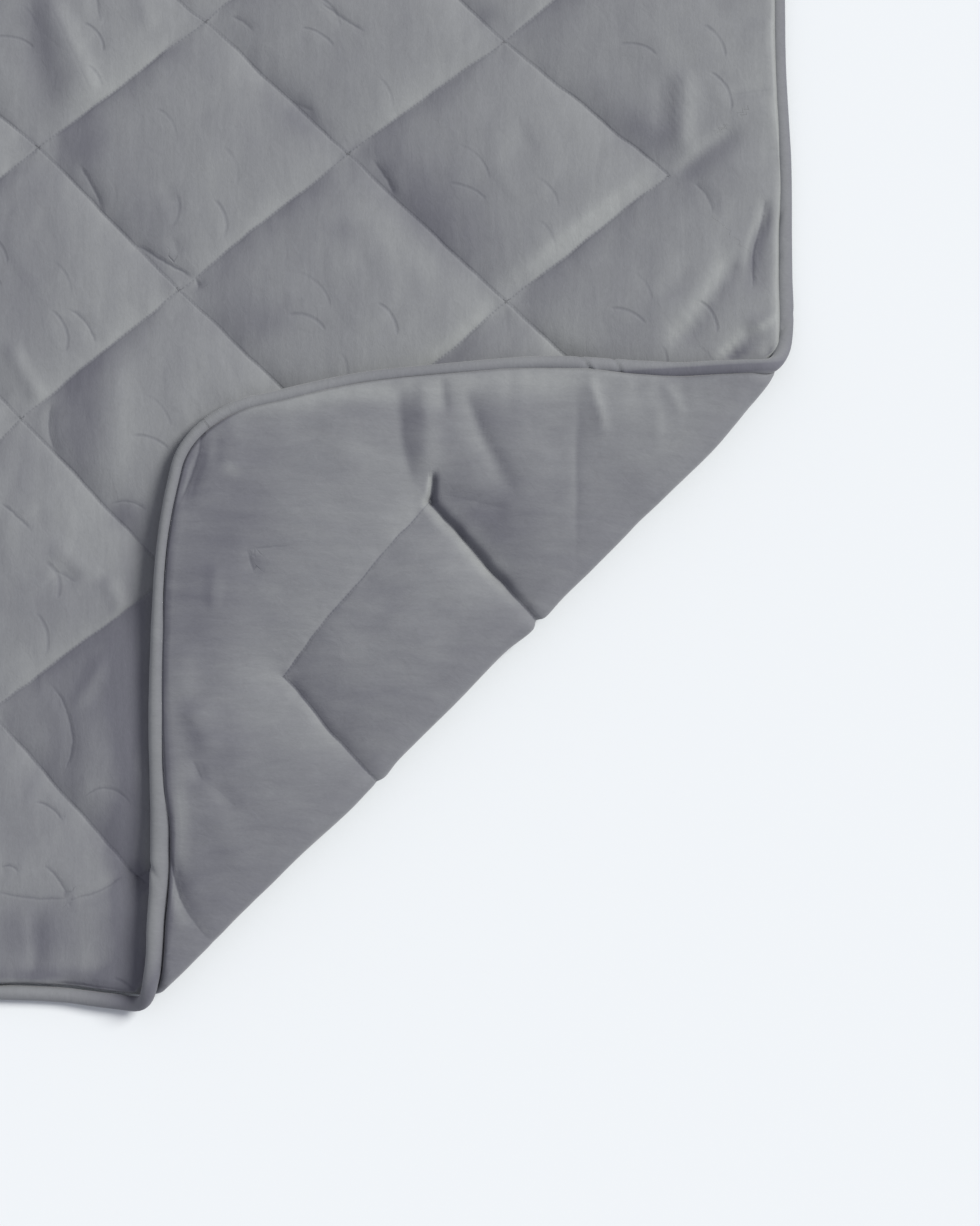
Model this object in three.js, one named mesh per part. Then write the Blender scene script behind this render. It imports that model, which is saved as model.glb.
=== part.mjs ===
// A quilted plush duvet that lies flat, with one corner turned back over its face.
//
// Units are millimetres and +Z is up. The origin is the middle of the underside,
// on the surface that the duvet lies on. X runs across the duvet and Y along it.
//
// The duvet is drawn as a flat pattern first: a field of diamonds between sewn
// lines, and a plain border from the outermost diamonds to the sewn edge. Each
// corner of the pattern carries the height of the back and of the face there. The
// pattern is then turned over a bend, and the piping follows its edge.

import * as THREE from 'three';

// ---------------------------------------------------------------- Driving sizes

const WIDTH = 1400; // across, over the piping where an edge bows out
const LENGTH = 2000; // along, over the piping where an edge bows out
const EDGE_BOW = 3; // how far an edge bows out past its straight line
const CORNER_RADIUS = 58; // of the sewn edge

const PIPING_RADIUS = 4.7;
const PIPING_SIDES = 8;
const PIECE_GAP = 0.3;

const DIAMONDS_ACROSS = 6;
const DIAMONDS_ALONG = 10;
const SIDE_BORDER = 80; // from the straight edge to the outermost quilting points
const END_BORDER = 79;

const CROWN = 15; // thickness in the middle of a diamond
const CHANNEL_FACE = 6.5; // height of the face over a sewn line
const CHANNEL_BACK = 1.5; // height of the back over a sewn line
const SEAM_THICKNESS = 3; // of the sewn edge

const FOLD_DEPTH = 309; // from the square corner to the bend, along the diagonal
const LAYER_GAP = 1; // between the two layers of the fold
const BEND_STEPS = 4;
const CUT_SNAP = 1.5; // a corner this near to a fold line counts as lying on it
const BEND_SQUEEZE = 0.7; // how much of its height the face keeps inside the bend
const TURNOVER = 35; // how far from the bend the two sides trade their crowns

// Where a diamond is cut into cells: the sewn line, the crown and the next line.
const CELL_CUTS = [0, 0.28, 0.72, 1];

// Rings of the border, from the quilting out to the sewn edge.
const BORDER_RINGS = [
  { share: 0, puff: 0 },
  { share: 0.3, puff: 1 },
  { share: 0.75, puff: 0.85 },
  { share: 1, puff: 0 },
];
const CORNER_STEPS = 8;

// Soft shifts of the quilting off an even lattice: the middle of each, how far it
// spreads, and how far it moves the lines across and along the duvet.
const QUILT_DRIFTS = [
  { x: 180, y: -580, reach: 200, across: -6, along: 34 },
  { x: 190, y: -880, reach: 170, across: -36, along: 16 },
  { x: 480, y: -960, reach: 150, across: -24, along: 2 },
  { x: 560, y: -680, reach: 170, across: -5, along: 16 },
  { x: 350, y: -420, reach: 110, across: 0, along: 14 },
  { x: 330, y: -800, reach: 120, across: -12, along: -10 },
  { x: -260, y: 420, reach: 260, across: 12, along: -10 },
  { x: 240, y: 640, reach: 240, across: -9, along: 8 },
];

// Soft pulls on the sewn edge: how far round from the middle of the turned corner,
// how far each spreads, and how far it draws the edge in (or bows it out).
const EDGE_PULLS = [
  { round: 15, reach: 85, inset: 24 },
  { round: 240, reach: 55, inset: -5 },
  { round: 467, reach: 110, inset: -1.9 },
  { round: 2700, reach: 160, inset: -EDGE_BOW },
  { round: 4500, reach: 180, inset: -EDGE_BOW },
  { round: 5800, reach: 140, inset: -EDGE_BOW },
];

const PLUSH = { name: 'plush', color: 0x85868d, roughness: 0.95, metalness: 0 };
const PIPING_PLUSH = { name: 'piping_plush', color: 0x8a8b92, roughness: 0.92, metalness: 0 };

// ------------------------------------------------------------- Worked-out sizes

const STRAIGHT_X = WIDTH / 2 - EDGE_BOW; // straight line of each edge, over the piping
const STRAIGHT_Y = LENGTH / 2 - EDGE_BOW;
const SEAM_INSET = 2 * PIPING_RADIUS + PIECE_GAP; // from that line in to the sewn edge
const SEAM_X = STRAIGHT_X - SEAM_INSET;
const SEAM_Y = STRAIGHT_Y - SEAM_INSET;

const HALF_ACROSS = (STRAIGHT_X - SIDE_BORDER) / DIAMONDS_ACROSS; // half a diamond
const HALF_ALONG = (STRAIGHT_Y - END_BORDER) / DIAMONDS_ALONG;
const COLUMNS = 2 * DIAMONDS_ACROSS; // half-diamond columns, counted from the right
const ROWS = 2 * DIAMONDS_ALONG; // half-diamond rows, counted from the foot

const MIDDLE = CROWN / 2; // height of the layer's middle
const BEND_RADIUS = (CROWN + LAYER_GAP) / 2;
const BEND_LENGTH = Math.PI * BEND_RADIUS;
const FOLD_START = (STRAIGHT_X + STRAIGHT_Y) * Math.SQRT1_2 - FOLD_DEPTH;

// ------------------------------------------------------------- Small functions

const mix = (a, b, t) => a + (b - a) * t;
const smooth = (t) => t * t * (3 - 2 * t);
const clamp01 = (t) => Math.min(1, Math.max(0, t));
const bell = (distance, reach) => Math.exp(-((distance / reach) ** 2));

// ------------------------------------------------------------- The quilting

// A point of the quilting lattice, `column` half-diamonds in from the right-hand
// points and `row` half-diamonds up from the points at the foot.
function quiltPoint(column, row) {
  const x = STRAIGHT_X - SIDE_BORDER - column * HALF_ACROSS;
  const y = END_BORDER - STRAIGHT_Y + row * HALF_ALONG;
  const point = { x, y };
  for (const drift of QUILT_DRIFTS) {
    const weight = bell(Math.hypot(x - drift.x, y - drift.y), drift.reach);
    point.x += drift.across * weight;
    point.y += drift.along * weight;
  }
  return point;
}

const mixPoint = (a, b, t) => ({ x: mix(a.x, b.x, t), y: mix(a.y, b.y, t) });

// ------------------------------------------------------------- The sewn edge

// The edge goes round from the middle of the turned corner up the right-hand side.
const ARC = (CORNER_RADIUS * Math.PI) / 2;
const SIDE_RUN = 2 * (SEAM_Y - CORNER_RADIUS);
const END_RUN = 2 * (SEAM_X - CORNER_RADIUS);
const ROUND = 2 * (SIDE_RUN + END_RUN) + 4 * ARC;
const CORNERS = [ // middle of each arc along the edge, its centre, and where it faces
  { round: 0, x: 1, y: -1, facing: -Math.PI / 4 },
  { round: ARC + SIDE_RUN, x: 1, y: 1, facing: Math.PI / 4 },
  { round: 2 * ARC + SIDE_RUN + END_RUN, x: -1, y: 1, facing: (3 * Math.PI) / 4 },
  { round: 3 * ARC + 2 * SIDE_RUN + END_RUN, x: -1, y: -1, facing: (5 * Math.PI) / 4 },
  { round: ROUND, x: 1, y: -1, facing: (7 * Math.PI) / 4 },
];

function edgeInset(round) {
  const wrapped = (gap) => Math.abs(gap - ROUND * Math.round(gap / ROUND));
  return EDGE_PULLS.reduce(
    (sum, pull) => sum + pull.inset * bell(wrapped(round - pull.round), pull.reach), 0);
}

// The point of the sewn edge at a distance round it.
function edgePoint(round) {
  const from = CORNERS.findLast((corner) => round >= corner.round - ARC / 2);
  const turn = Math.min(round - from.round, ARC / 2);
  const angle = from.facing + turn / CORNER_RADIUS;
  const out = { x: Math.cos(angle), y: Math.sin(angle) };
  const past = round - from.round - turn; // along the straight run after the arc
  const reach = CORNER_RADIUS - edgeInset(round);
  return {
    x: from.x * (SEAM_X - CORNER_RADIUS) + out.x * reach - out.y * past,
    y: from.y * (SEAM_Y - CORNER_RADIUS) + out.y * reach + out.x * past,
  };
}

// How far round the edge lies level with a point of the border.
function roundAtSide(side, point) {
  const corner = CORNERS[side];
  const along = [
    point.y + SEAM_Y, SEAM_X - point.x, SEAM_Y - point.y, point.x + SEAM_X,
  ][side];
  return corner.round + ARC / 2 + along - CORNER_RADIUS;
}

// ------------------------------------------------------------- The flat pattern

// Corners of the pattern. Two corners at one place are one corner.
class Pattern {
  constructor() {
    this.corners = [];
    this.triangles = [];
    this.known = new Map();
  }

  corner(point, back, face) {
    const key = `${Math.round(point.x * 1000)},${Math.round(point.y * 1000)}`;
    if (!this.known.has(key)) {
      this.known.set(key, this.corners.length);
      this.corners.push({ x: point.x, y: point.y, back, face });
    }
    return this.known.get(key);
  }

  puffed(point, puff) {
    return this.corner(point, mix(CHANNEL_BACK, 0, Math.min(1, 2 * puff)),
      mix(CHANNEL_FACE, CROWN, puff));
  }

  sewn(point) {
    const half = SEAM_THICKNESS / 2;
    return this.corner(point, PIPING_RADIUS - half, PIPING_RADIUS + half);
  }

  quad(a, b, c, d) {
    this.triangles.push([a, b, c], [a, c, d]);
  }
}

// One diamond, between its foot, right, head and left points, as nine cells. The
// diagonal of each corner cell runs to the crown.
function addDiamond(pattern, column, row) {
  const foot = quiltPoint(column, row - 1);
  const right = quiltPoint(column - 1, row);
  const head = quiltPoint(column, row + 1);
  const left = quiltPoint(column + 1, row);
  const last = CELL_CUTS.length - 1;
  const grid = CELL_CUTS.map((up, i) => CELL_CUTS.map((over, j) => {
    const point = mixPoint(mixPoint(foot, left, up), mixPoint(right, head, up), over);
    const onLine = i === 0 || j === 0 || i === last || j === last;
    return pattern.puffed(point, onLine ? 0 : 1);
  }));
  for (let i = 0; i < last; i += 1) {
    for (let j = 0; j < last; j += 1) {
      const ring = [grid[i][j], grid[i][j + 1], grid[i + 1][j + 1], grid[i + 1][j]];
      const turned = (i === 0) !== (j === 0) ? [...ring.slice(1), ring[0]] : ring;
      pattern.quad(...turned);
    }
  }
}

// The zigzag of quilting points that the border starts from, and how far round the
// edge each faces.
function borderPoints() {
  const walk = [];
  const add = (side, column, row) => {
    const point = quiltPoint(column, row);
    walk.push({ point, round: roundAtSide(side, point) });
  };
  for (let row = 1; row < ROWS; row += 1) add(0, row % 2 ? 0 : 1, row);
  for (let column = 1; column < COLUMNS; column += 1) add(1, column, ROWS - 1 + (column % 2));
  for (let row = ROWS - 1; row > 0; row -= 1) add(2, COLUMNS - 1 + (row % 2), row);
  for (let column = COLUMNS - 1; column > 0; column -= 1) add(3, column, (column + 1) % 2);
  return walk;
}

// Where the border is cut along the edge: at the diamond's cuts, and all round the
// arc of a corner.
function borderCuts(from, to) {
  const corner = CORNERS.find(({ round }) => round > from && round < to);
  if (!corner) return CELL_CUTS;
  const cuts = [0];
  for (let step = 0; step <= CORNER_STEPS; step += 1) {
    const round = corner.round + ARC * (step / CORNER_STEPS - 0.5);
    cuts.push((round - from) / (to - from));
  }
  return [...cuts, 1];
}

// Joins two rows of corners that are cut in different places.
function addStrip(pattern, inner, innerCuts, outer, outerCuts) {
  let i = 0;
  let j = 0;
  while (i < inner.length - 1 || j < outer.length - 1) {
    const stepInner = j === outer.length - 1
      || (i < inner.length - 1 && innerCuts[i + 1] <= outerCuts[j + 1]);
    if (stepInner) {
      pattern.triangles.push([inner[i], outer[j], inner[i + 1]]);
      i += 1;
    } else {
      pattern.triangles.push([inner[i], outer[j], outer[j + 1]]);
      j += 1;
    }
  }
}

function addBorder(pattern) {
  const walk = borderPoints();
  walk.forEach((start, index) => {
    const end = walk[(index + 1) % walk.length];
    const to = end.round > start.round ? end.round : end.round + ROUND;
    const cuts = borderCuts(start.round, to);
    const rows = BORDER_RINGS.map(({ share, puff }) => {
      const steps = share === 0 ? CELL_CUTS : cuts;
      const corners = steps.map((t) => {
        const edge = edgePoint(mix(start.round, to, t) % ROUND);
        const point = mixPoint(mixPoint(start.point, end.point, t), edge, share);
        return share === 1 ? pattern.sewn(point) : pattern.puffed(point, puff);
      });
      return { steps, corners };
    });
    for (let ring = 1; ring < rows.length; ring += 1) {
      const inner = rows[ring - 1];
      const outer = rows[ring];
      addStrip(pattern, inner.corners, inner.steps, outer.corners, outer.steps);
    }
  });
}

// ------------------------------------------------------------- The fold

// How far a point of the flat pattern lies past the start of the bend.
const pastBend = ({ x, y }) => (x - y) * Math.SQRT1_2 - FOLD_START;

// Cuts every triangle along the line that lies `past` the start of the bend.
function cutAlong(pattern, past) {
  const cut = [];
  for (const triangle of pattern.triangles) {
    const sides = triangle.map((index) => {
      const gap = pastBend(pattern.corners[index]) - past;
      return Math.abs(gap) < CUT_SNAP ? 0 : gap;
    });
    const pieces = [[], []];
    triangle.forEach((index, i) => {
      const next = (i + 1) % 3;
      if (sides[i] <= 0) pieces[0].push(index);
      if (sides[i] >= 0) pieces[1].push(index);
      if (sides[i] * sides[next] < 0) {
        const a = pattern.corners[index];
        const b = pattern.corners[triangle[next]];
        const t = sides[i] / (sides[i] - sides[next]);
        const made = pattern.corner(mixPoint(a, b, t), mix(a.back, b.back, t),
          mix(a.face, b.face, t));
        pieces[0].push(made);
        pieces[1].push(made);
      }
    });
    for (const piece of pieces) {
      for (let i = 2; i < piece.length; i += 1) {
        const made = [piece[0], piece[i - 1], piece[i]];
        if (new Set(made).size === 3) cut.push(made);
      }
    }
  }
  pattern.triangles = cut;
}

// How far the two sides have traded their crowns: 0 on the bottom layer, where the
// back lies flat, and 1 on the turned corner, where the face does.
function turned(past) {
  const before = smooth(clamp01(1 + past / TURNOVER));
  const after = smooth(clamp01((past - BEND_LENGTH) / TURNOVER));
  return 0.5 * (before + after);
}

// A height of the flat pattern as a distance from the layer's middle, towards the
// face. `facing` and `opposite` are the heights of this side and of the other one.
function offMiddle(past, facing, opposite) {
  const offset = mix(facing - MIDDLE, MIDDLE - opposite, turned(past));
  const inBend = past > 0 && past < BEND_LENGTH;
  return inBend && offset > 0 ? offset * BEND_SQUEEZE : offset;
}

// The place in the folded duvet of a point that lies `offset` from the middle.
function folded(point, offset) {
  const past = pastBend(point);
  const along = (point.x + point.y) * Math.SQRT1_2;
  const angle = clamp01(past / BEND_LENGTH) * Math.PI;
  const straight = past <= 0 ? past : Math.min(0, BEND_LENGTH - past);
  const radius = BEND_RADIUS - offset;
  const out = FOLD_START + straight + radius * Math.sin(angle);
  return new THREE.Vector3(
    (along + out) * Math.SQRT1_2,
    (along - out) * Math.SQRT1_2,
    MIDDLE + BEND_RADIUS - radius * Math.cos(angle),
  );
}

// ------------------------------------------------------------- The duvet

function duvetPattern() {
  const pattern = new Pattern();
  for (let row = 1; row < ROWS; row += 1) {
    for (let column = 1; column < COLUMNS; column += 1) {
      if ((row + column) % 2 === 0) addDiamond(pattern, column, row);
    }
  }
  addBorder(pattern);
  const step = BEND_LENGTH / BEND_STEPS;
  cutAlong(pattern, -TURNOVER);
  for (let cut = -1; cut <= BEND_STEPS + 1; cut += 1) cutAlong(pattern, cut * step);
  cutAlong(pattern, BEND_LENGTH + TURNOVER);
  return pattern;
}

// The corners of the sewn edge, in order round it.
function edgeLoop(pattern) {
  const next = new Map();
  const used = new Set();
  for (const triangle of pattern.triangles) {
    triangle.forEach((from, i) => used.add(`${from},${triangle[(i + 1) % 3]}`));
  }
  for (const triangle of pattern.triangles) {
    triangle.forEach((from, i) => {
      const to = triangle[(i + 1) % 3];
      if (!used.has(`${to},${from}`)) next.set(from, to);
    });
  }
  const loop = [next.keys().next().value];
  while (next.get(loop.at(-1)) !== loop[0]) loop.push(next.get(loop.at(-1)));
  return loop;
}

function meshFrom(points, indices, look) {
  const geometry = new THREE.BufferGeometry();
  geometry.setFromPoints(points);
  geometry.setIndex(indices);
  geometry.computeVertexNormals();
  return new THREE.Mesh(geometry, new THREE.MeshStandardMaterial(look));
}

// One filled solid: the face, the back, and the narrow wall of the sewn edge.
function makeDuvet(pattern, loop) {
  const count = pattern.corners.length;
  const faces = pattern.corners.map((corner) => folded(
    corner, offMiddle(pastBend(corner), corner.face, corner.back)));
  const backs = pattern.corners.map((corner) => folded(
    corner, offMiddle(pastBend(corner), corner.back, corner.face)));
  const indices = [];
  for (const [a, b, c] of pattern.triangles) {
    indices.push(a, b, c);
    indices.push(count + a, count + c, count + b);
  }
  loop.forEach((from, i) => {
    const to = loop[(i + 1) % loop.length];
    indices.push(from, count + from, to);
    indices.push(to, count + from, count + to);
  });
  const mesh = meshFrom([...faces, ...backs], indices, PLUSH);
  mesh.name = 'duvet';
  return mesh;
}

// ------------------------------------------------------------- The piping

const PIPING_TURN = 0.003; // turns smaller than this are passed over, radians
const PIPING_STEP = 70; // but no run is longer than this
const FOLD_EASE = 1.4; // how much further out the piping runs as it goes over the bend

// The middle of the piping beside each corner of the sewn edge, in the flat pattern.
function pipingStations(pattern, loop) {
  const stations = loop.map((index, i) => {
    const here = new THREE.Vector2().copy(pattern.corners[index]);
    const before = new THREE.Vector2().copy(pattern.corners[loop.at(i - 1)]);
    const after = new THREE.Vector2().copy(pattern.corners[loop[(i + 1) % loop.length]]);
    const into = here.clone().sub(before).normalize();
    const away = after.clone().sub(here).normalize();
    const turn = Math.abs(into.cross(away));
    const out = into.add(away).normalize();
    const corner = pattern.corners[index];
    const over = turned(pastBend(corner));
    const ease = FOLD_EASE * 4 * over * (1 - over);
    const reach = (PIPING_RADIUS + PIECE_GAP + ease) / Math.cos(turn / 2);
    return {
      x: here.x + out.y * reach,
      y: here.y - out.x * reach,
      height: (corner.back + corner.face) / 2,
      edge: corner,
      turn,
    };
  });
  const kept = [];
  let run = Infinity;
  for (const station of stations) {
    const past = pastBend(station.edge);
    const nearFold = past > -2 * TURNOVER && past < BEND_LENGTH + 2 * TURNOVER;
    const last = kept.at(-1);
    if (last) run = Math.hypot(station.x - last.x, station.y - last.y);
    if (nearFold || station.turn > PIPING_TURN || run > PIPING_STEP) kept.push(station);
  }
  return kept;
}

// A closed round cord along the sewn edge, over the fold and round the turned corner.
function makePiping(pattern, loop) {
  const stations = pipingStations(pattern, loop);
  const middles = stations.map((station) => {
    const past = pastBend(station.edge);
    const offset = mix(station.height - MIDDLE, MIDDLE - station.height, turned(past));
    const middle = folded(station, offset);
    const above = folded(station, offset + 1);
    return { middle, up: above.sub(middle) };
  });
  const points = [];
  const indices = [];
  const tip = PIPING_RADIUS / Math.cos(Math.PI / PIPING_SIDES);
  middles.forEach(({ middle, up }, i) => {
    const before = middles.at(i - 1).middle;
    const after = middles[(i + 1) % middles.length].middle;
    const ahead = after.clone().sub(before).normalize();
    const across = new THREE.Vector3().crossVectors(ahead, up).normalize();
    const rise = new THREE.Vector3().crossVectors(across, ahead);
    for (let side = 0; side < PIPING_SIDES; side += 1) {
      const angle = ((side + 0.5) * 2 * Math.PI) / PIPING_SIDES;
      points.push(middle.clone()
        .addScaledVector(across, tip * Math.cos(angle))
        .addScaledVector(rise, tip * Math.sin(angle)));
    }
  });
  const total = points.length;
  for (let i = 0; i < middles.length; i += 1) {
    for (let side = 0; side < PIPING_SIDES; side += 1) {
      const a = i * PIPING_SIDES + side;
      const b = i * PIPING_SIDES + ((side + 1) % PIPING_SIDES);
      const c = (a + PIPING_SIDES) % total;
      const d = (b + PIPING_SIDES) % total;
      indices.push(a, c, b, b, c, d);
    }
  }
  const mesh = meshFrom(points, indices, PIPING_PLUSH);
  mesh.name = 'piping';
  return mesh;
}

// ------------------------------------------------------------- The whole object

const pattern = duvetPattern();
const loop = edgeLoop(pattern);

const duvet = new THREE.Group();
duvet.add(makeDuvet(pattern, loop));
duvet.add(makePiping(pattern, loop));

export default duvet;
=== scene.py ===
"""A quilted plush duvet, lying flat with one corner turned back over its face.

Lengths are millimetres until a mesh is made, and Blender's metres after that. The duvet
is drawn as a flat pattern, with a face and a back. Each point gets its height from the
sewn lines and the edge near it, and the pattern is then turned over the bend.
"""
import math

import bmesh
import bpy
import numpy as np
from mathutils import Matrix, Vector


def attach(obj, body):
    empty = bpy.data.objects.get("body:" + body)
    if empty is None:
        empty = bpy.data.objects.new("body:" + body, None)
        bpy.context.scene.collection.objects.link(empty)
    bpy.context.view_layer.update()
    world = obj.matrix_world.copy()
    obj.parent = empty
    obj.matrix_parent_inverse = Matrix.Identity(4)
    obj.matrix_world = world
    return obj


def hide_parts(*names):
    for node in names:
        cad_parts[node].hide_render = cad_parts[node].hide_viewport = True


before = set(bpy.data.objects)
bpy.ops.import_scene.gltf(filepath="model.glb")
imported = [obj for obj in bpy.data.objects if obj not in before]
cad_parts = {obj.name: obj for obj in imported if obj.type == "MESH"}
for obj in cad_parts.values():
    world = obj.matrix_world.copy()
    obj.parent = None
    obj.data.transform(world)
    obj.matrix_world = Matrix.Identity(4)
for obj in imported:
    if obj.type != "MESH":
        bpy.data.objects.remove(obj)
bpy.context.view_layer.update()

MM = 0.001

# ------------------------------------------------------------------ The duvet's sizes

WIDTH = 1400  # across, over the piping where an edge bows out
LENGTH = 2000
EDGE_BOW = 3  # how far an edge bows out past its straight line
CORNER_RADIUS = 58  # of the sewn edge
PIPING_RADIUS = 4.7
PIECE_GAP = 0.3  # between the sewn edge and the piping

DIAMONDS_ACROSS = 6
DIAMONDS_ALONG = 10
SIDE_BORDER = 80  # from the straight edge to the outermost quilting points
END_BORDER = 79

CROWN = 15  # thickness in the middle of a diamond
CHANNEL_FACE = 6.5  # height of the face over a sewn line
CHANNEL_BACK = 1.5  # height of the back over a sewn line

FOLD_DEPTH = 309  # from the square corner to the bend, along the diagonal
LAYER_GAP = 1  # between the two layers of the fold
BEND_SQUEEZE = 0.7  # how much of its height the face keeps inside the bend
TURNOVER = 35  # how far from the bend the two sides trade their crowns

# Soft shifts of the quilting off an even lattice.
QUILT_DRIFTS = [  # x, y, reach, across, along
    (180, -580, 200, -6, 34),
    (190, -880, 170, -36, 16),
    (480, -960, 150, -24, 2),
    (560, -680, 170, -5, 16),
    (350, -420, 110, 0, 14),
    (330, -800, 120, -12, -10),
    (-260, 420, 260, 12, -10),
    (240, 640, 240, -9, 8),
    (616, -456, 60, 3.6, 3.3),
    (511, -540, 60, 1.9, 3.7),
    (514, -365, 60, -2.4, 0.3),
    (410, -442, 60, -2.0, 4.0),
    (304, -525, 60, -7.2, -3.4),
    (307, -350, 60, 8.1, -0.2),
    (201, -433, 60, 4.6, 0.0),
    (194, -610, 60, -1.6, -4.4),
    (286, -723, 60, 6.3, 6.4),
    (168, -808, 60, 7.1, 2.8),
    (277, -910, 50, -13, -10.5),
    (345, -565, 45, -1.0, -1.0),
    (410, -620, 60, -1.8, -2.0),
]

# Soft pulls on the sewn edge, by the distance round it from the turned corner.
EDGE_PULLS = [  # round, reach, inset
    (15, 85, 24),
    (240, 55, -5),
    (467, 110, -1.9),
    (2700, 160, -EDGE_BOW),
    (4500, 180, -EDGE_BOW),
    (5800, 140, -EDGE_BOW),
]

STRAIGHT_X = WIDTH / 2 - EDGE_BOW
STRAIGHT_Y = LENGTH / 2 - EDGE_BOW
SEAM_INSET = 2 * PIPING_RADIUS + PIECE_GAP
SEAM_X = STRAIGHT_X - SEAM_INSET
SEAM_Y = STRAIGHT_Y - SEAM_INSET
HALF_ACROSS = (STRAIGHT_X - SIDE_BORDER) / DIAMONDS_ACROSS
HALF_ALONG = (STRAIGHT_Y - END_BORDER) / DIAMONDS_ALONG
COLUMNS = 2 * DIAMONDS_ACROSS
ROWS = 2 * DIAMONDS_ALONG

MIDDLE = CROWN / 2
BEND_RADIUS = (CROWN + LAYER_GAP) / 2
BEND_LENGTH = math.pi * BEND_RADIUS
DIAGONAL = math.sqrt(0.5)
FOLD_START = (STRAIGHT_X + STRAIGHT_Y) * DIAGONAL - FOLD_DEPTH

# ------------------------------------------------------------------ Small functions


def mix(a, b, t):
    return a + (b - a) * t


def smooth(t):
    t = np.clip(t, 0, 1)
    return t * t * (3 - 2 * t)


def bell(distance, reach):
    return np.exp(-((distance / reach) ** 2))


def scatter(a, b, seed):
    """A fixed number from -1 to 1 for each pair of whole numbers."""
    value = np.sin(a * 127.1 + b * 311.7 + seed * 74.7) * 43758.5453
    return 2 * (value - np.floor(value)) - 1


def uneven(x, y, size, seed):
    """Soft unevenness from -1 to 1, in lumps of about the size given."""
    turn = 0.7 + seed
    across = (x * math.cos(turn) + y * math.sin(turn)) / size
    along = (y * math.cos(turn) - x * math.sin(turn)) / size
    i, j = np.floor(across), np.floor(along)
    s, t = smooth(across - i), smooth(along - j)
    low = mix(scatter(i, j, seed), scatter(i + 1, j, seed), s)
    high = mix(scatter(i, j + 1, seed), scatter(i + 1, j + 1, seed), s)
    return mix(low, high, t)


def lumps(layers, x, y):
    """Unevenness in several layers, each with its strength, its size and its seed."""
    return sum(strength * uneven(x, y, size, seed) for strength, size, seed in layers)


# ------------------------------------------------------------------ The quilting


def drift(x, y):
    """How far the quilting is shifted at a point of the even lattice."""
    across, along = 0, 0
    for at_x, at_y, reach, move_across, move_along in QUILT_DRIFTS:
        weight = bell(np.hypot(x - at_x, y - at_y), reach)
        across = across + move_across * weight
        along = along + move_along * weight
    return across, along


def quilt_point(column, row):
    x = STRAIGHT_X - SIDE_BORDER - column * HALF_ACROSS
    y = END_BORDER - STRAIGHT_Y + row * HALF_ALONG
    across, along = drift(x, y)
    return np.array([x + across, y + along])


def quilt_place(x, y):
    """The column and row of the lattice that a point of the pattern lies at."""
    even_x, even_y = x, y
    for _ in range(3):
        across, along = drift(even_x, even_y)
        even_x, even_y = x - across, y - along
    column = (STRAIGHT_X - SIDE_BORDER - even_x) / HALF_ACROSS
    row = (even_y + STRAIGHT_Y - END_BORDER) / HALF_ALONG
    return column, row


def sewn_lines():
    """Both ends of each stretch of sewn line, from one quilting point to the next."""
    lines = []
    for column in range(COLUMNS):
        for row in range(ROWS + 1):
            for step in (-1, 1):
                if (column + row) % 2 and 0 <= row + step <= ROWS:
                    lines.append((quilt_point(column, row), quilt_point(column + 1, row + step)))
    return lines


# ------------------------------------------------------------------ The sewn edge

ARC = CORNER_RADIUS * math.pi / 2
SIDE_RUN = 2 * (SEAM_Y - CORNER_RADIUS)
END_RUN = 2 * (SEAM_X - CORNER_RADIUS)
ROUND = 2 * (SIDE_RUN + END_RUN) + 4 * ARC
CORNER_ROUND = np.array(
    [0, ARC + SIDE_RUN, 2 * ARC + SIDE_RUN + END_RUN, 3 * ARC + 2 * SIDE_RUN + END_RUN, ROUND])
CORNER_X = np.array([1, 1, -1, -1, 1]) * (SEAM_X - CORNER_RADIUS)
CORNER_Y = np.array([-1, 1, 1, -1, -1]) * (SEAM_Y - CORNER_RADIUS)
CORNER_FACING = np.array([-1, 1, 3, 5, 7]) * math.pi / 4


def edge_inset(around):
    """How far the edge is pulled in, at each distance round it."""
    inset = 0
    for middle, reach, pull in EDGE_PULLS:
        gap = around - middle
        inset = inset + pull * bell(gap - ROUND * np.round(gap / ROUND), reach)
    return inset


def edge_point(around, outward=0.0):
    """Points of the sewn edge, or outside it, by the distance round it."""
    around = np.asarray(around, float) % ROUND
    corner = np.searchsorted(CORNER_ROUND - ARC / 2, around, side="right") - 1
    gone = around - CORNER_ROUND[corner]
    turn = np.minimum(gone, ARC / 2)
    angle = CORNER_FACING[corner] + turn / CORNER_RADIUS
    out_x, out_y = np.cos(angle), np.sin(angle)
    reach = CORNER_RADIUS - edge_inset(around) + outward
    past = gone - turn
    x = CORNER_X[corner] + out_x * reach - out_y * past
    y = CORNER_Y[corner] + out_y * reach + out_x * past
    return np.stack([x, y], -1)


def edge_place(x, y):
    """How far in from the sewn edge a point lies, and how far round the edge it is."""
    past_x = np.abs(x) - (SEAM_X - CORNER_RADIUS)
    past_y = np.abs(y) - (SEAM_Y - CORNER_RADIUS)
    outside = np.hypot(np.maximum(past_x, 0), np.maximum(past_y, 0))
    depth = CORNER_RADIUS - outside - np.minimum(np.maximum(past_x, past_y), 0)
    side = np.where(past_x > past_y, np.where(x > 0, 0, 2), np.where(y > 0, 1, 3))
    along = np.choose(side, [y, -x, -y, x])
    half_run = np.where(side % 2 == 0, SIDE_RUN / 2, END_RUN / 2)
    around = CORNER_ROUND[side] + ARC / 2 + half_run + along
    corner = np.where(x > 0, np.where(y > 0, 1, 0), np.where(y > 0, 2, 3))
    angle = np.arctan2(y - CORNER_Y[corner], x - CORNER_X[corner]) - CORNER_FACING[corner]
    angle = (angle + math.pi) % (2 * math.pi) - math.pi
    at_corner = (past_x > 0) & (past_y > 0)
    around = np.where(at_corner, CORNER_ROUND[corner] + angle * CORNER_RADIUS, around) % ROUND
    return depth - edge_inset(around), around


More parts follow.
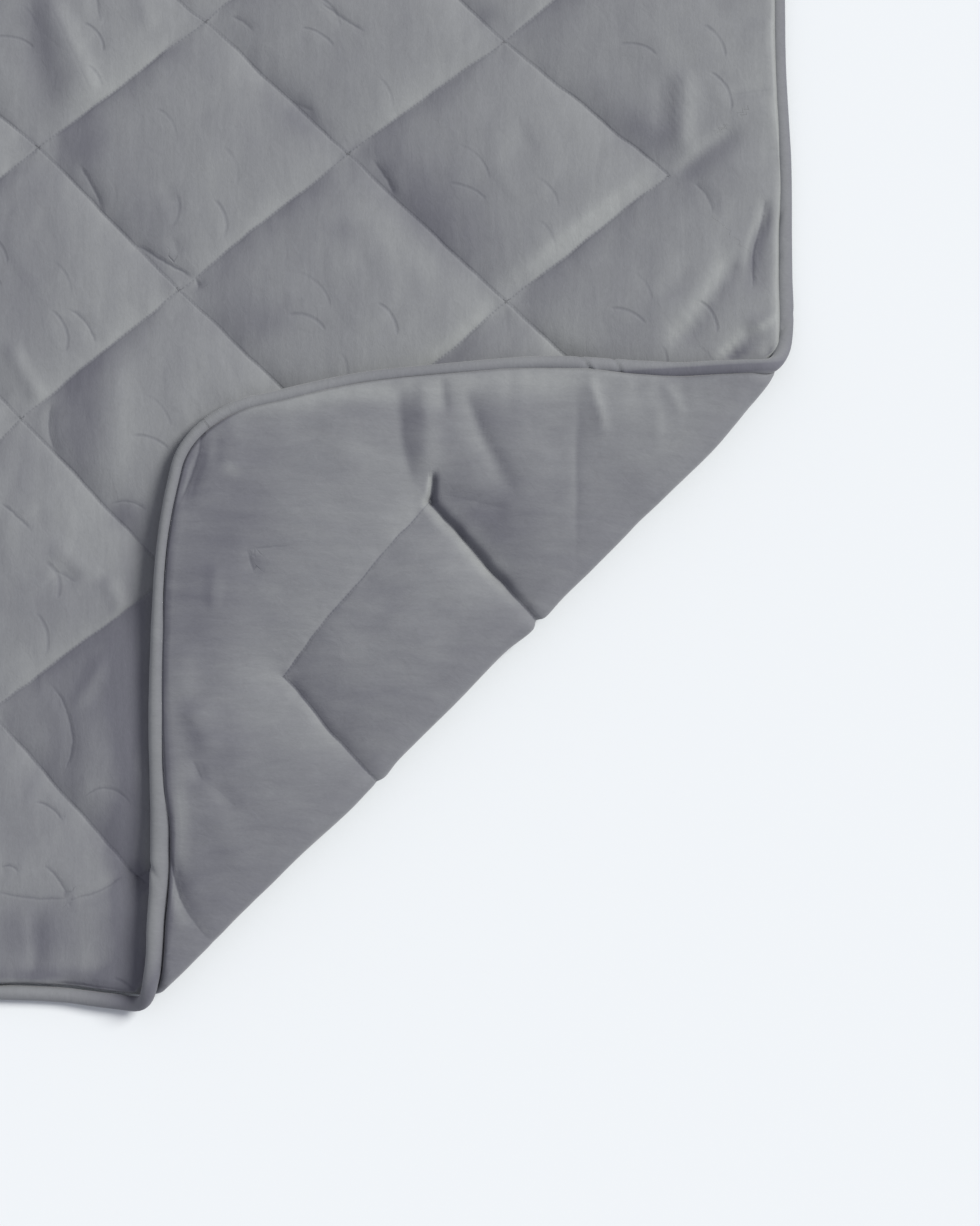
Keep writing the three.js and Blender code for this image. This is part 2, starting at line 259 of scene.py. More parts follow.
def round_level_with(side, point):
    """How far round the edge a side lies level with a point inside it."""
    along = (point[1] + SEAM_Y, SEAM_X - point[0], SEAM_Y - point[1], point[0] + SEAM_X)[side]
    return CORNER_ROUND[side] + ARC / 2 + along - CORNER_RADIUS


# ------------------------------------------------------------------ The fold


def past_bend(x, y):
    """How far past the start of the bend a point of the pattern lies."""
    return (x - y) * DIAGONAL - FOLD_START


def turned(past):
    """0 on the bottom layer, where the back lies flat, and 1 on the turned corner."""
    return 0.5 * (smooth(1 + past / TURNOVER) + smooth((past - BEND_LENGTH) / TURNOVER))


def off_middle(past, height, opposite):
    """How far a side stands off the layer's middle, from its height and the other side's."""
    offset = mix(height - MIDDLE, MIDDLE - opposite, turned(past))
    inside = (past > 0) & (past < BEND_LENGTH) & (offset > 0)
    return np.where(inside, offset * BEND_SQUEEZE, offset)


def folded(x, y, offset):
    """Where points of the pattern lie once the corner is turned back."""
    past = past_bend(x, y)
    along = (x + y) * DIAGONAL
    angle = np.clip(past / BEND_LENGTH, 0, 1) * math.pi
    straight = np.where(past <= 0, past, np.minimum(0, BEND_LENGTH - past))
    radius = BEND_RADIUS - offset
    out = FOLD_START + straight + radius * np.sin(angle)
    return np.stack([
        (along + out) * DIAGONAL,
        (along - out) * DIAGONAL,
        MIDDLE + BEND_RADIUS - radius * np.cos(angle),
    ], -1)


# Where the finished duvet bulges a little past its even shape, at the fold and elsewhere.
FOLD_BULGES = [  # along the fold, reach, out
    (-317, 35, 3.0),
    (-233, 60, 1.6),
    (-120, 50, 3.0),
    (-40, 55, 3.2),
    (14, 38, 3.6),
    (-153, 19, 5.1),
    (-301, 10, 2.6),
    (-498, 28, 3.3),
    (-452, 14, 0.8),
]
BULGE_DEPTH = 45  # how far in from the fold a bulge reaches

NUDGES = [  # x, y, reach, across, along
    (702, -450, 50, 3.0, 0),
    (702, -530, 50, 2.1, 0),
    (706, -583, 14, -5.5, 4.0),
    (250, -1004, 38, 0, -3.4),
    (281, -991, 20, -5.5, -2.5),
    (293, -880, 58, 3.6, 0),
    (300, -735, 60, 1.2, 0),
    (253, -478, 28, -0.9, -1.0),
    (414, -726, 38, 2.5, -2.1),
    (457, -666, 48, 6.5, -4.0),
    (362, -784, 45, 6.0, 1.0),
    (421, -850, 35, 4.0, 3.0),
]


def nudged(place):
    """Points of the folded duvet, moved level with the floor by the bulges and the nudges."""
    x, y = place[:, 0], place[:, 1]
    along, out = (x + y) * DIAGONAL, (x - y) * DIAGONAL
    inside = np.maximum(0, FOLD_START + BEND_RADIUS + MIDDLE - out)
    push = sum(rise * bell(along - middle, reach) for middle, reach, rise in FOLD_BULGES)
    push = push * bell(inside, BULGE_DEPTH)
    across, up = push * DIAGONAL, -push * DIAGONAL
    for at_x, at_y, reach, move_across, move_up in NUDGES:
        weight = bell(np.hypot(x - at_x, y - at_y), reach)
        across, up = across + move_across * weight, up + move_up * weight
    return place + np.stack([across, up, 0 * x], -1)


# ------------------------------------------------------------------ The flat pattern

FINE = 46  # cells along a diamond's side, where it shows close
PLAIN_FACE, PLAIN_BACK = 12, 6  # and elsewhere
CORNER_FINE, CORNER_PLAIN = 90, 24  # cells along the border at a corner
RIM_FINE, RIM_PLAIN = 32, 8  # cells across the border
GATHER = 1.3  # how much closer the cells are by a sewn line
CORNER_SPAN = 1.6  # a border stretch longer than this, in half diamonds, is at a corner
MERGE = 0.001  # points nearer than this are one

BEND_CUTS = 16  # cells along the bend
BEND_MARGIN = 2  # and beyond each end of it
CUT_REACH = 40  # only what lies this near to a cut is searched
CUT_SNAP = 0.4  # a point this near to a cut counts as lying on it

# The part of the face that shows close, round the turned corner that covers the rest.
NEAR_LEFT, NEAR_TOP = 150, -315
COVER_LEFT, COVER_TOP = 300, -600
NEAR_BEND = 30  # and the back shows close from this far before the bend


def cuts(count):
    """Places from 0 to 1 that lie closer together at both ends."""
    t = np.linspace(0, 1, count + 1)
    half = 0.5 * (2 * np.minimum(t, 1 - t)) ** GATHER
    return np.where(t < 0.5, half, 1 - half)


class Patches:
    """Four-sided patches, each with its own cells, that meet corner to corner."""

    def __init__(self):
        self.points = []
        self.faces = []
        self.count = 0

    def add(self, place, over, up, sides):
        """place(s, t) gives points. over and up are the cell cuts, and sides are the cuts
        of the edges t=0, s=1, t=1 and s=0, which the neighbours share."""
        inner_s, inner_t = np.meshgrid(over[1:-1], up[1:-1], indexing="ij")
        inner = np.arange(inner_s.size).reshape(inner_s.shape) + self.count
        points = [place(inner_s.ravel(), inner_t.ravel())]
        a, b = inner[:-1, :-1].ravel(), inner[1:, :-1].ravel()
        c, d = inner[1:, 1:].ravel(), inner[:-1, 1:].ravel()
        self.faces += np.stack([a, b, c, d], 1).tolist()
        self.count += inner_s.size
        zero, one = np.zeros, np.ones
        edges = [
            (sides[0], lambda t: (t, zero(len(t))), inner[:, 0], over[1:-1], False),
            (sides[1], lambda t: (one(len(t)), t), inner[-1, :], up[1:-1], False),
            (sides[2], lambda t: (t, one(len(t))), inner[:, -1], over[1:-1], True),
            (sides[3], lambda t: (zero(len(t)), t), inner[0, :], up[1:-1], True),
        ]
        for edge_cuts, at, row, row_cuts, flip in edges:
            outer = np.arange(len(edge_cuts)) + self.count
            points.append(place(*at(edge_cuts)))
            self.count += len(edge_cuts)
            self.strip(outer, edge_cuts, row, row_cuts, flip)
        self.points += points

    def strip(self, outer, outer_cuts, inner, inner_cuts, flip):
        """Triangles between a patch's edge and its cells, which may be cut differently."""
        i = j = 0
        while i < len(outer) - 1 or j < len(inner) - 1:
            step_outer = j == len(inner) - 1 or (
                i < len(outer) - 1 and outer_cuts[i + 1] <= inner_cuts[j + 1])
            if step_outer:
                made = [outer[i], outer[i + 1], inner[j]]
                i += 1
            else:
                made = [outer[i], inner[j + 1], inner[j]]
                j += 1
            self.faces.append([int(k) for k in (reversed(made) if flip else made)])

    def merged(self):
        """All points and faces, with the points that patches share made one."""
        points = np.concatenate(self.points)
        keys = np.round(points / MERGE).astype(np.int64)
        _, first, same = np.unique(keys, axis=0, return_index=True, return_inverse=True)
        same = same.ravel()
        return points[first], [[int(same[k]) for k in face] for face in self.faces]


def shows_close(points, is_back):
    x, y = points[:, 0], points[:, 1]
    past = past_bend(x, y)
    if is_back:
        return bool((past > -NEAR_BEND).any())
    near = (x > NEAR_LEFT) & (y < NEAR_TOP)
    covered = (x > COVER_LEFT) & (y < COVER_TOP)
    return bool((near & ~covered & (past < BEND_LENGTH)).any())


def border_walk():
    """The zigzag of quilting points that the border starts from, and where each faces."""
    steps = [(0, 0 if row % 2 else 1, row) for row in range(1, ROWS)]
    steps += [(1, column, ROWS - 1 + column % 2) for column in range(1, COLUMNS)]
    steps += [(2, COLUMNS - 1 + row % 2, row) for row in range(ROWS - 1, 0, -1)]
    steps += [(3, column, (column + 1) % 2) for column in range(COLUMNS - 1, 0, -1)]
    walk = []
    for side, column, row in steps:
        point = quilt_point(column, row)
        walk.append((column, row, point, round_level_with(side, point)))
    return walk


def panel(is_back, shared):
    """The flat face or back panel. shared holds how finely each part is cut."""
    patches = Patches()

    def fineness(key):
        return shared[key, is_back]

    for (column, row) in shared["diamonds"]:
        foot, right = quilt_point(column, row - 1), quilt_point(column - 1, row)
        head, left = quilt_point(column, row + 1), quilt_point(column + 1, row)

        def place(s, t):
            low = mix(foot, right, s[:, None])
            high = mix(left, head, s[:, None])
            return mix(low, high, t[:, None])

        own = fineness((column, row))
        sides = []
        for over, up in ((-1, -1), (-1, 1), (1, 1), (1, -1)):
            beside = (column + over, row + up)
            if (beside, is_back) not in shared:
                beside = ("border", frozenset([(column, row + up), (column + over, row)]))
            sides.append(cuts(max(own, fineness(beside))))
        patches.add(place, cuts(own), cuts(own), sides)

    for start, end in shared["borders"]:
        from_round, to_round = start[3], end[3]
        if to_round < from_round:
            to_round += ROUND

        def place(s, t):
            inner = mix(start[2], end[2], s[:, None])
            outer = edge_point(mix(from_round, to_round, s))
            return mix(inner, outer, t[:, None])

        pair = frozenset([start[:2], end[:2]])
        own = fineness(("border", pair))
        diamond = shared["touching"][pair][0]
        inner = cuts(max(own, fineness(diamond)))
        outer = cuts(max(shared[("rim", pair), False], shared[("rim", pair), True]))
        across = cuts(RIM_FINE if own == FINE else RIM_PLAIN)
        before, after = (cuts(shared["across"][point[:2], is_back]) for point in (start, end))
        patches.add(lambda s, t: place(1 - s, t), cuts(fineness(("rim", pair))), across,
                    [1 - inner[::-1], before, outer, after])
    return patches.merged()


def plain_cells(is_back):
    return PLAIN_BACK if is_back else PLAIN_FACE


def share_out_cells():
    """How finely each diamond and each stretch of border is cut, on the face and the back."""
    shared = {"diamonds": [], "borders": [], "touching": {}, "across": {}}
    for row in range(1, ROWS):
        for column in range(1, COLUMNS):
            if (row + column) % 2 == 0:
                shared["diamonds"].append((column, row))
                corners = [(column, row - 1), (column - 1, row),
                           (column, row + 1), (column + 1, row)]
                points = np.array([quilt_point(*c) for c in corners])
                for is_back in (False, True):
                    close = shows_close(points, is_back)
                    shared[(column, row), is_back] = FINE if close else plain_cells(is_back)
                for a, b in zip(corners, corners[1:] + corners[:1]):
                    shared["touching"].setdefault(frozenset([a, b]), []).append((column, row))
    walk = border_walk()
    for start, end in zip(walk, walk[1:] + walk[:1]):
        shared["borders"].append((start, end))
        pair = frozenset([start[:2], end[:2]])
        span = (end[3] - start[3]) % ROUND
        at_corner = start[0] != end[0] and span > HALF_ALONG * CORNER_SPAN
        points = np.array([start[2], end[2], edge_point(start[3]), edge_point(end[3])])
        for is_back in (False, True):
            close = shows_close(points, is_back)
            shared[("border", pair), is_back] = FINE if close else plain_cells(is_back)
            fine, plain = (CORNER_FINE, CORNER_PLAIN) if at_corner else (FINE, plain_cells(is_back))
            shared[("rim", pair), is_back] = fine if close else plain
            count = RIM_FINE if close else RIM_PLAIN
            for key in (start[:2], end[:2]):
                most = max(count, shared["across"].get((key, is_back), 0))
                shared["across"][key, is_back] = most
    return shared


def flat_duvet():
    """A closed flat mesh: the face at z = 1, the back at z = -1 and a wall between them."""
    shared = share_out_cells()
    mesh = bmesh.new()
    for is_back in (False, True):
        points, faces = panel(is_back, shared)
        level = -1 if is_back else 1
        verts = [mesh.verts.new((x, y, level)) for x, y in points]
        for face in faces:
            ring = [verts[k] for k in face]
            if len(set(ring)) == len(ring):
                mesh.faces.new(ring[::-1] if is_back else ring)
    rims = {}
    for edge in mesh.edges:
        if len(edge.link_faces) == 1:
            key = frozenset((round(v.co.x, 2), round(v.co.y, 2)) for v in edge.verts)
            rims.setdefault(key, []).append(edge)
    for pair in rims.values():
        if len(pair) != 2:
            raise RuntimeError("the face and the back don't meet at the edge")
    made = bmesh.ops.bridge_loops(mesh, edges=[edge for pair in rims.values() for edge in pair])
    bmesh.ops.subdivide_edges(mesh, edges=made["edges"], cuts=1, use_grid_fill=True)
    outward = Vector((DIAGONAL, -DIAGONAL, 0))
    for step in range(-BEND_MARGIN, BEND_CUTS + BEND_MARGIN + 1):
        past = FOLD_START + BEND_LENGTH * step / BEND_CUTS
        near = [face for face in mesh.faces
                if any(abs(v.co.dot(outward) - past) < CUT_REACH for v in face.verts)]
        around = {v for f in near for v in f.verts} | {e for f in near for e in f.edges} | set(near)
        bmesh.ops.bisect_plane(mesh, geom=list(around), dist=CUT_SNAP,
                               plane_co=outward * past, plane_no=outward)
    return mesh


# ------------------------------------------------------------------ The filling

SLOPE = 12  # how quickly the plush rises off a sewn line
SPREAD = 52  # how far out the broad crown of a diamond starts
STEEP_SHARE, BROAD_SHARE = 0.6, 0.4  # of a crown
EDGE_HOLD = 0.6  # how much of the broad crown is held down at the edge
EDGE_LEVEL = 10  # how high the plush stands beside the piping
EDGE_SPREAD = 38  # how far in from there the crown goes on rising
EDGE_PINCH = 1.3  # how far in from the piping seam the plush is pressed down
SEW_REACH = 110  # no sewn line shapes the plush further off than this
FAR = 1000  # more than any distance between neighbours

SIDE_LAP, SIDE_LAP_BY_FOLD = 2.6, 1.3  # how far the plush stands out over the piping
END_LAP, TURNED_END_LAP, END_LAP_BY_FOLD = 0.5, 1.6, -1.4
LAP_REACH = 4  # how far in the lap is let out
END_FROM, END_OVER = 70, 60  # where the lap of the sides gives way to that of the ends
FOLD_UP_TO, FOLD_OVER = 95, 30  # and both to that of the fold

# Short puckers beside the sewn lines and along the edge. The slant is how quickly they
# change on their way out from the seam.
LINE_PUCKERS = [  # strength, size, slant, seed
    (0.65, 9, 0.35, 1),
    (0.35, 4.5, 0.4, 2),
]
EDGE_PUCKERS = [
    (0.6, 14, 0.3, 3),
    (0.4, 7, 0.25, 4),
]

FILLING_LUMPS = [(1.3, 75, 5), (1.0, 38, 6), (0.3, 17, 7)]  # strength, size, seed
STRAY_ACROSS = [(0.9, 26, 41), (0.45, 9, 42)]
STRAY_ALONG = [(0.9, 26, 43), (0.45, 9, 44)]
STRAY_EDGE = 20  # the lines run true at the edge, and stray freely this far in


class Sewing:
    """How far each point lies from the sewn lines and from the edge."""

    def __init__(self, x, y):
        self.x, self.y = x, y
        self.line = np.full(x.shape, float(FAR))
        self.along = np.zeros(x.shape)
        steep, broad = np.ones(x.shape), np.ones(x.shape)
        for number, (a, b) in enumerate(sewn_lines()):
            low, high = np.minimum(a, b) - SEW_REACH, np.maximum(a, b) + SEW_REACH
            near = np.flatnonzero((x > low[0]) & (x < high[0]) & (y > low[1]) & (y < high[1]))
            t, gap = beside_line(a, b, x[near], y[near])
            steep[near] *= 1 - np.exp(-gap / SLOPE)
            broad[near] *= 1 - bell(gap, SPREAD)
            closer = gap < self.line[near]
            self.line[near[closer]] = gap[closer]
            self.along[near[closer]] = t[closer] * math.hypot(*(b - a)) + number * FAR
        self.rim, around = edge_place(x, y)
        self.rim = np.maximum(self.rim, 0)
        self.around = (around + ROUND / 2) % ROUND
        held = 1 - EDGE_HOLD * bell(self.rim, SPREAD)
        self.puff = STEEP_SHARE * steep + BROAD_SHARE * broad * held
        self.edge = np.exp(-self.rim / EDGE_SPREAD)
        self.seam = bell(self.rim, EDGE_PINCH)


def beside_line(a, b, x, y):
    """Each point's share of the way from a to b, and how far off the line it lies."""
    run = b - a
    px, py = x - a[0], y - a[1]
    t = np.clip((px * run[0] + py * run[1]) / math.hypot(*run) ** 2, 0, 1)
    return t, np.hypot(px - t * run[0], py - t * run[1])


def edge_lap(x, y, is_back):
    """How far the plush stands out over the piping, and its half thickness there."""
    at_end = smooth((np.abs(y) - SEAM_Y + END_FROM) / END_OVER)
    by_fold = smooth((FOLD_UP_TO - np.abs(past_bend(x, y) - BEND_LENGTH / 2)) / FOLD_OVER)
    lap = mix(SIDE_LAP, np.where(is_back, TURNED_END_LAP, END_LAP), at_end)
    lap = mix(lap, mix(SIDE_LAP_BY_FOLD, END_LAP_BY_FOLD, at_end), by_fold)
    clear = PIPING_RADIUS + PIECE_GAP
    return lap, np.sqrt(np.maximum(clear ** 2 - (clear - lap) ** 2, 1))


def puckers(sizes, along, away, height, start, reach):
    """Puckers that rise just beside a seam and fade out at their reach."""
    short = sum(strength * uneven(along, away * slant, size, seed)
                for strength, size, slant, seed in sizes)
    return height * short * np.exp(-away / reach) * (1 - np.exp(-away / start))


def gathers(sewing):
    by_line = puckers(LINE_PUCKERS, sewing.along, sewing.line, height=0.6, start=1.2, reach=8)
    by_edge = puckers(EDGE_PUCKERS, sewing.around, sewing.rim, height=1.2, start=2, reach=15)
    return by_line + by_edge


def strayed(sewing):
    """How far the sewn lines wander sideways from where they were marked."""
    x, y = sewing.x, sewing.y
    inner = smooth(sewing.rim / STRAY_EDGE)
    return lumps(STRAY_ACROSS, x, y) * inner, lumps(STRAY_ALONG, x, y) * inner


# ------------------------------------------------------------------ Creases

# Soft ridges, and troughs where the height is below 0, from one end to the other as they
# lie on the finished duvet. A width for each side sets how steep that side falls, and the
# bow is how far the middle stands off the straight line, to the left of its direction.
# Crisp says how strongly a thin line of painted shade shows along it.
FACE_CREASES = [  # from x, from y, to x, to y, left width, right width, height, bow, crisp
    (209, -333, 242, -403, 7, 20, 2.6, 0, 0.15),
    (198, -330, 212, -416, 10, 14, -1.6, -2, 0),
    (243, -329, 246, -352, 3, 5, -0.9, 0, 0.4),
    (271, -330, 277, -357, 6, 4, 0.8, 0, 0),
    (232, -445, 247, -476, 2.5, 3.5, -0.7, 1, 0.8),
    (267, -497, 307, -520, 3, 4, -0.8, 0, 0.9),
    (307, -520, 310, -527, 3, 3, -0.8, 1, 0.8),
    (290, -457, 294, -478, 5, 4, -0.8, 0, 0),
    (292, -492, 297, -505, 4, 4, -0.7, 0, 0.2),
    (370, -403, 386, -410, 3, 4, -0.5, 0, 0.4),
    (425, -443, 440, -466, 2.5, 4, -0.8, 1, 0.7),
    (390, -337, 421, -359, 2.5, 3, -0.6, -1, 0.7),
    (331, -348, 345, -357, 3, 3, -0.6, 1.5, 0.6),
    (630, -383, 628, -437, 7, 8, 2.4, 0, 0),
    (619, -386, 617, -426, 8, 8, -0.9, 0, 0),
    (665, -420, 624, -451, 9, 4, -2.2, 0, 0),
    (688, -396, 659, -400, 3, 4, -0.9, 0, 0.15),
    (636, -456, 649, -480, 3, 3, -0.6, 3, 0.5),
    (684, -468, 679, -495, 2.5, 3, -1.1, 0.5, 0.5),
    (683, -478, 676, -530, 2, 2, -0.1, -2.4, 0.9),
    (213, -986, 267, -990, 2, 2, -0.1, 0, 1),
    (253, -565, 252, -662, 10, 24, 1.7, 2, 0),
    (214, -602, 217, -637, 4, 3, -1, -3.5, 0.5),
    (224, -540, 243, -565, 3, 3, -0.6, 4, 0.6),
    (187, -562, 208, -602, 4, 6, 1.4, -2, 0),
    (179, -669, 201, -687, 3, 3, -0.6, 1, 0.7),
    (213, -695, 244, -717, 5, 5, 1.3, -3, 0),
    (215, -713, 229, -722, 4, 4, -1.2, 0, 0.4),
    (246, -719, 257, -744, 5, 5, 1.3, 3, 0),
    (252, -670, 276, -675, 3, 3, -0.5, 4, 0.5),
    (210, -786, 222, -849, 3, 4, -0.7, 10.8, 0.7),
    (233, -865, 267, -869, 3, 4, -0.6, 10, 0.5),
    (248, -771, 230, -804, 5, 5, 1.1, 0, 0),
    (201, -865, 221, -879, 3, 3, -0.6, 2.5, 0.7),
    (179, -909, 192, -913, 3, 3, -0.6, 3, 0.6),
    (207, -907, 226, -938, 3, 3, -0.6, 4, 0.7),
    (262, -914, 226, -930, 5, 4, -1, 2.8, 0.5),
    (226, -930, 175, -924, 5, 4, -1, 3, 0.5),
    (202, -936, 202, -982, 6, 5, -1, 0, 0),
    (263, -909, 276, -922, 4, 4, -1.5, 0, 0.6),
    (240, -800, 236, -870, 14, 12, 1.2, 0, 0),
]

FLAP_CREASES = [
    (459, -590, 459, -652, 9, 10, 1.9, 0, 0),
    (465, -650, 463, -671, 2.6, 2.2, -3.6, 0, 0.9),
    (471, -664, 514, -672, 5, 7, -1.2, 0, 0.2),
    (641, -583, 654, -606, 6, 8, 0.9, 0, 0),
    (690, -545, 696, -556, 3, 4, -1, 0, 0.5),
    (531, -616, 555, -652, 18, 14, -1, 3, 0),
    (588, -650, 600, -690, 12, 12, -0.9, 0, 0),
    (308, -621, 296, -667, 4, 5, 1, 0, 0),
    (318, -613, 299, -672, 2, 2, -0.1, 1.5, 0.8),
    (324, -710, 320, -740, 3, 3, 0.9, 0, 0),
    (345, -702, 349, -716, 3, 3, -0.8, 0, 0.6),
    (343, -699, 372, -697, 3, 3, -0.4, 0, 0.35),
    (368, -784, 376, -800, 6, 5, -0.8, 2, 0),
    (305, -800, 320, -834, 14, 8, 2.3, 0, 0),
    (309, -839, 314, -852, 3, 4, -1.2, 0, 0.4),
    (320, -853, 338, -869, 5, 5, -1.1, 0, 0.15),
    (330, -802, 342, -850, 12, 14, 0.9, 0, 0),
    (305, -759, 300, -799, 9, 12, 0.9, -2, 0),
    (292, -896, 323, -960, 2, 2, -0.1, -7, 0.9),
    (320, -870, 345, -914, 12, 12, 0.9, 0, 0),
    (400, -612, 412, -660, 16, 16, 0.9, 4, 0),
    (430, -740, 470, -770, 20, 18, 0.8, 0, 0),
]

# Folds with a sharp ridge or valley, with the same columns but for the last.
FACE_FOLDS = [  # from x, from y, to x, to y, left width, right width, height, bow
    (668, -503, 622, -566, 10, 7, -3.3, 1),
    (677, -553, 657, -575, 5, 7, -2.9, 0),
    (688, -546, 674, -557, 2.5, 2.5, 1.5, 0),
    (690, -561, 683, -571, 2.4, 2.4, -2.6, 0),
    (684, -474, 676, -530, 4, 2.4, -2.6, -2.4),
    (213, -986, 267, -989, 2.5, 2.5, -5, 0),
    (634, -514, 614, -535, 7, 5, -1.0, 0),
]
FLAP_FOLDS = [
    (445, -588, 451, -656, 9, 12, -1.6, -4),
    (471, -588, 473, -610, 4, 8, -1.4, 0),
    (485, -593, 519, -663, 8, 13, -2.9, -2.5),
    (567, -587, 578, -623, 3.5, 8, 1.8, 0),
    (615, -590, 629, -614, 3, 5, 1.2, 0),
    (611, -606, 613, -634, 3.5, 5, 0.9, 0),
    (560, -596, 557, -722, 6, 6, -0.8, 0),
    (318, -613, 299, -672, 5, 6, -3.6, 1.5),
    (325, -623, 321, -646, 4, 5, -1.2, 0),
    (292, -896, 323, -960, 4.5, 6, -3.6, -7),
]

CREASE_FADE = 0.3  # the share of its length over which a crease rises from its ends
CREASE_START = 0.25  # and how far up that rise it starts
FOLD_RIDGE = 0.7  # how round the ridge of a sharp fold is
FOLD_FALL = 0.75  # the share of its width over which a sharp fold falls
CRISP_REACH, CRISP_EDGE = 7, 3  # how far to its sides a crisp line is known, fading before it
CRISP_FADE = 0.2  # the share of its length over which a crisp line fades in

# Scattered creases like those above, over the rest of the face: one for each square.
SCATTER_COLUMNS, SCATTER_ROWS = 7, 10  # squares to each side of the duvet's middle
SCATTER_SQUARE = 98
SCATTER_RANGES = [  # middle, most to each side, seed
    (0, 40, 21),  # x in its square
    (0, 40, 22),  # y in its square
    (95, 75, 23),  # direction in degrees
    (45, 25, 24),  # length
    (0, 1.7, 25),  # height
    (0, 4, 26),  # bow
]
SCATTER_LEFT, SCATTER_RIGHT = 12, 9  # widths
SCATTER_CLEAR = 20  # they may come this far into the part that shows close


def along_crease(crease, x, y):
    """Each point's share of the way along a crease, and how far to the left of it it lies."""
    x0, y0, x1, y1 = crease[:4]
    bow = crease[7]
    run_x, run_y = x1 - x0, y1 - y0
    length = math.hypot(run_x, run_y)
    t = ((x - x0) * run_x + (y - y0) * run_y) / length ** 2
    gap = ((y - y0) * run_x - (x - x0) * run_y) / length - bow * 4 * t * (1 - t)
    return t, gap


def crease_heights(creases, folds, x, y):
    height = np.zeros(x.shape)
    for crease in creases + folds:
        left, right, rise = crease[4:7]
        t, gap = along_crease(crease, x, y)
        fade = smooth(np.minimum(t, 1 - t) / CREASE_FADE + CREASE_START)
        width = np.where(gap > 0, left, right)
        if crease in folds:
            shape = np.exp((FOLD_RIDGE - np.hypot(gap, FOLD_RIDGE)) / (FOLD_FALL * width))
        else:
            shape = bell(gap, width)
        height += rise * fade * shape
    return height


def crisp_creases(creases, x, y):
    """How far each point lies from its nearest crisp crease, and how strong that is."""
    nearest, strength = np.zeros(x.shape), np.zeros(x.shape)
    least = np.full(x.shape, np.inf)
    for crease in creases:
        if crease[8]:
            t, gap = along_crease(crease, x, y)
            shown = crease[8] * smooth(np.minimum(t, 1 - t) / CRISP_FADE)
            shown = shown * smooth((CRISP_REACH - np.abs(gap)) / CRISP_EDGE)
            off = np.abs(gap) + FAR * np.maximum(np.abs(t - 0.5) - 0.5, 0)
            closer = off < least
            least, nearest = np.where(closer, off, least), np.where(closer, gap, nearest)
            strength = np.where(closer, shown, strength)
    return np.clip(nearest, -CRISP_REACH, CRISP_REACH), strength


def scattered_creases():
    made = []
    for i in range(-SCATTER_COLUMNS, SCATTER_COLUMNS + 1):
        for j in range(-SCATTER_ROWS, SCATTER_ROWS + 1):
            x, y, turn, length, rise, bow = (
                middle + most * scatter(i, j, seed) for middle, most, seed in SCATTER_RANGES)
            x, y = x + i * SCATTER_SQUARE, y + j * SCATTER_SQUARE
            if x > NEAR_LEFT - SCATTER_CLEAR and y < NEAR_TOP + SCATTER_CLEAR:
                continue
            run_x = math.cos(math.radians(turn)) * length / 2
            run_y = math.sin(math.radians(turn)) * length / 2
            made.append((x - run_x, y - run_y, x + run_x, y + run_y,
                         SCATTER_LEFT, SCATTER_RIGHT, rise, bow, 0))
    return made


# ------------------------------------------------------------------ The nap, with painted shade and light

# Where the pile is coloured darker, or lighter below 0: partly its nap, and partly painted shade,
# shadows and highlights round the turned corner, the hem and the sewn lines.
FACE_NAP_AND_SHADE = [  # x, y, reach across, reach along, turn in degrees, darkness
    (462, -473, 56, 27, -42, 0.48),
    (601, -423, 30, 13, -38, 0.45),
    (202, -370, 23, 40, 0, 0.35),
    (235, -436, 16, 23, 0, 0.4),
    (278, -479, 20, 40, 0, 0.25),
    (341, -548, 30, 16, 0, 0.3),
    (192, -535, 23, 46, 0, 0.25),
    (235, -608, 15, 40, 0, 0.3),
    (212, -733, 40, 26, 0, 0.2),
    (252, -786, 26, 46, 0, 0.3),
    (218, -957, 53, 26, 0, 0.36),
    (542, -416, 33, 36, 0, -0.15),
    (664, -390, 23, 33, 0, -0.1),
    (242, -677, 23, 30, 0, -0.12),
    (641, -502, 30, 26, 0, -0.1),
    (377, -416, 20, 10, -42, 0.3),
    (501, -346, 10, 9, 0, 0.35),
    (263, -678, 12, 9, 0, 0.35),
    (217, -819, 9, 26, 0, 0.22),
    (252, -885, 18, 21, 0, 0.28),
    (192, -954, 40, 20, 0, 0.2),
    (232, -959, 11, 22, 0, -0.2),
    (269, -915, 8, 8, 0, 0.6),
    (218, -766, 40, 40, 0, 0.12),
    (248, -825, 20, 40, 0, 0.1),
    (403, -490, 13, 9, 0, 0.2),
    (561, -488, 55, 6, 38, -0.45),
    (487, -555, 34, 6, 38, -0.35),
    (552, -562, 20, 22, 0, -0.3),
    (450, -500, 52, 12, -42, -0.28),
    (690, -425, 14, 70, 0, -0.2),
    (688, -535, 12, 30, 0, -0.12),
    (661, -566, 13, 3.2, 42, -0.5),
    (682, -552, 13, 2.2, 43, -0.45),
    (667, -571, 9, 2.4, 27, 0.45),
    (636, -544, 30, 5, 53, -0.22),
    (677, -508, 20, 2.6, 82, 0.8),
    (264, -830, 11, 110, 0, 0.6),
    (200, -872, 40, 40, 0, 0.2),
    (258, -940, 11, 50, 0, 0.45),
    (215, -982, 45, 6, 0, 0.6),
    (262, -978, 16, 8, 25, 0.6),
    (247, -988, 24, 3, -2, 0.7),
]
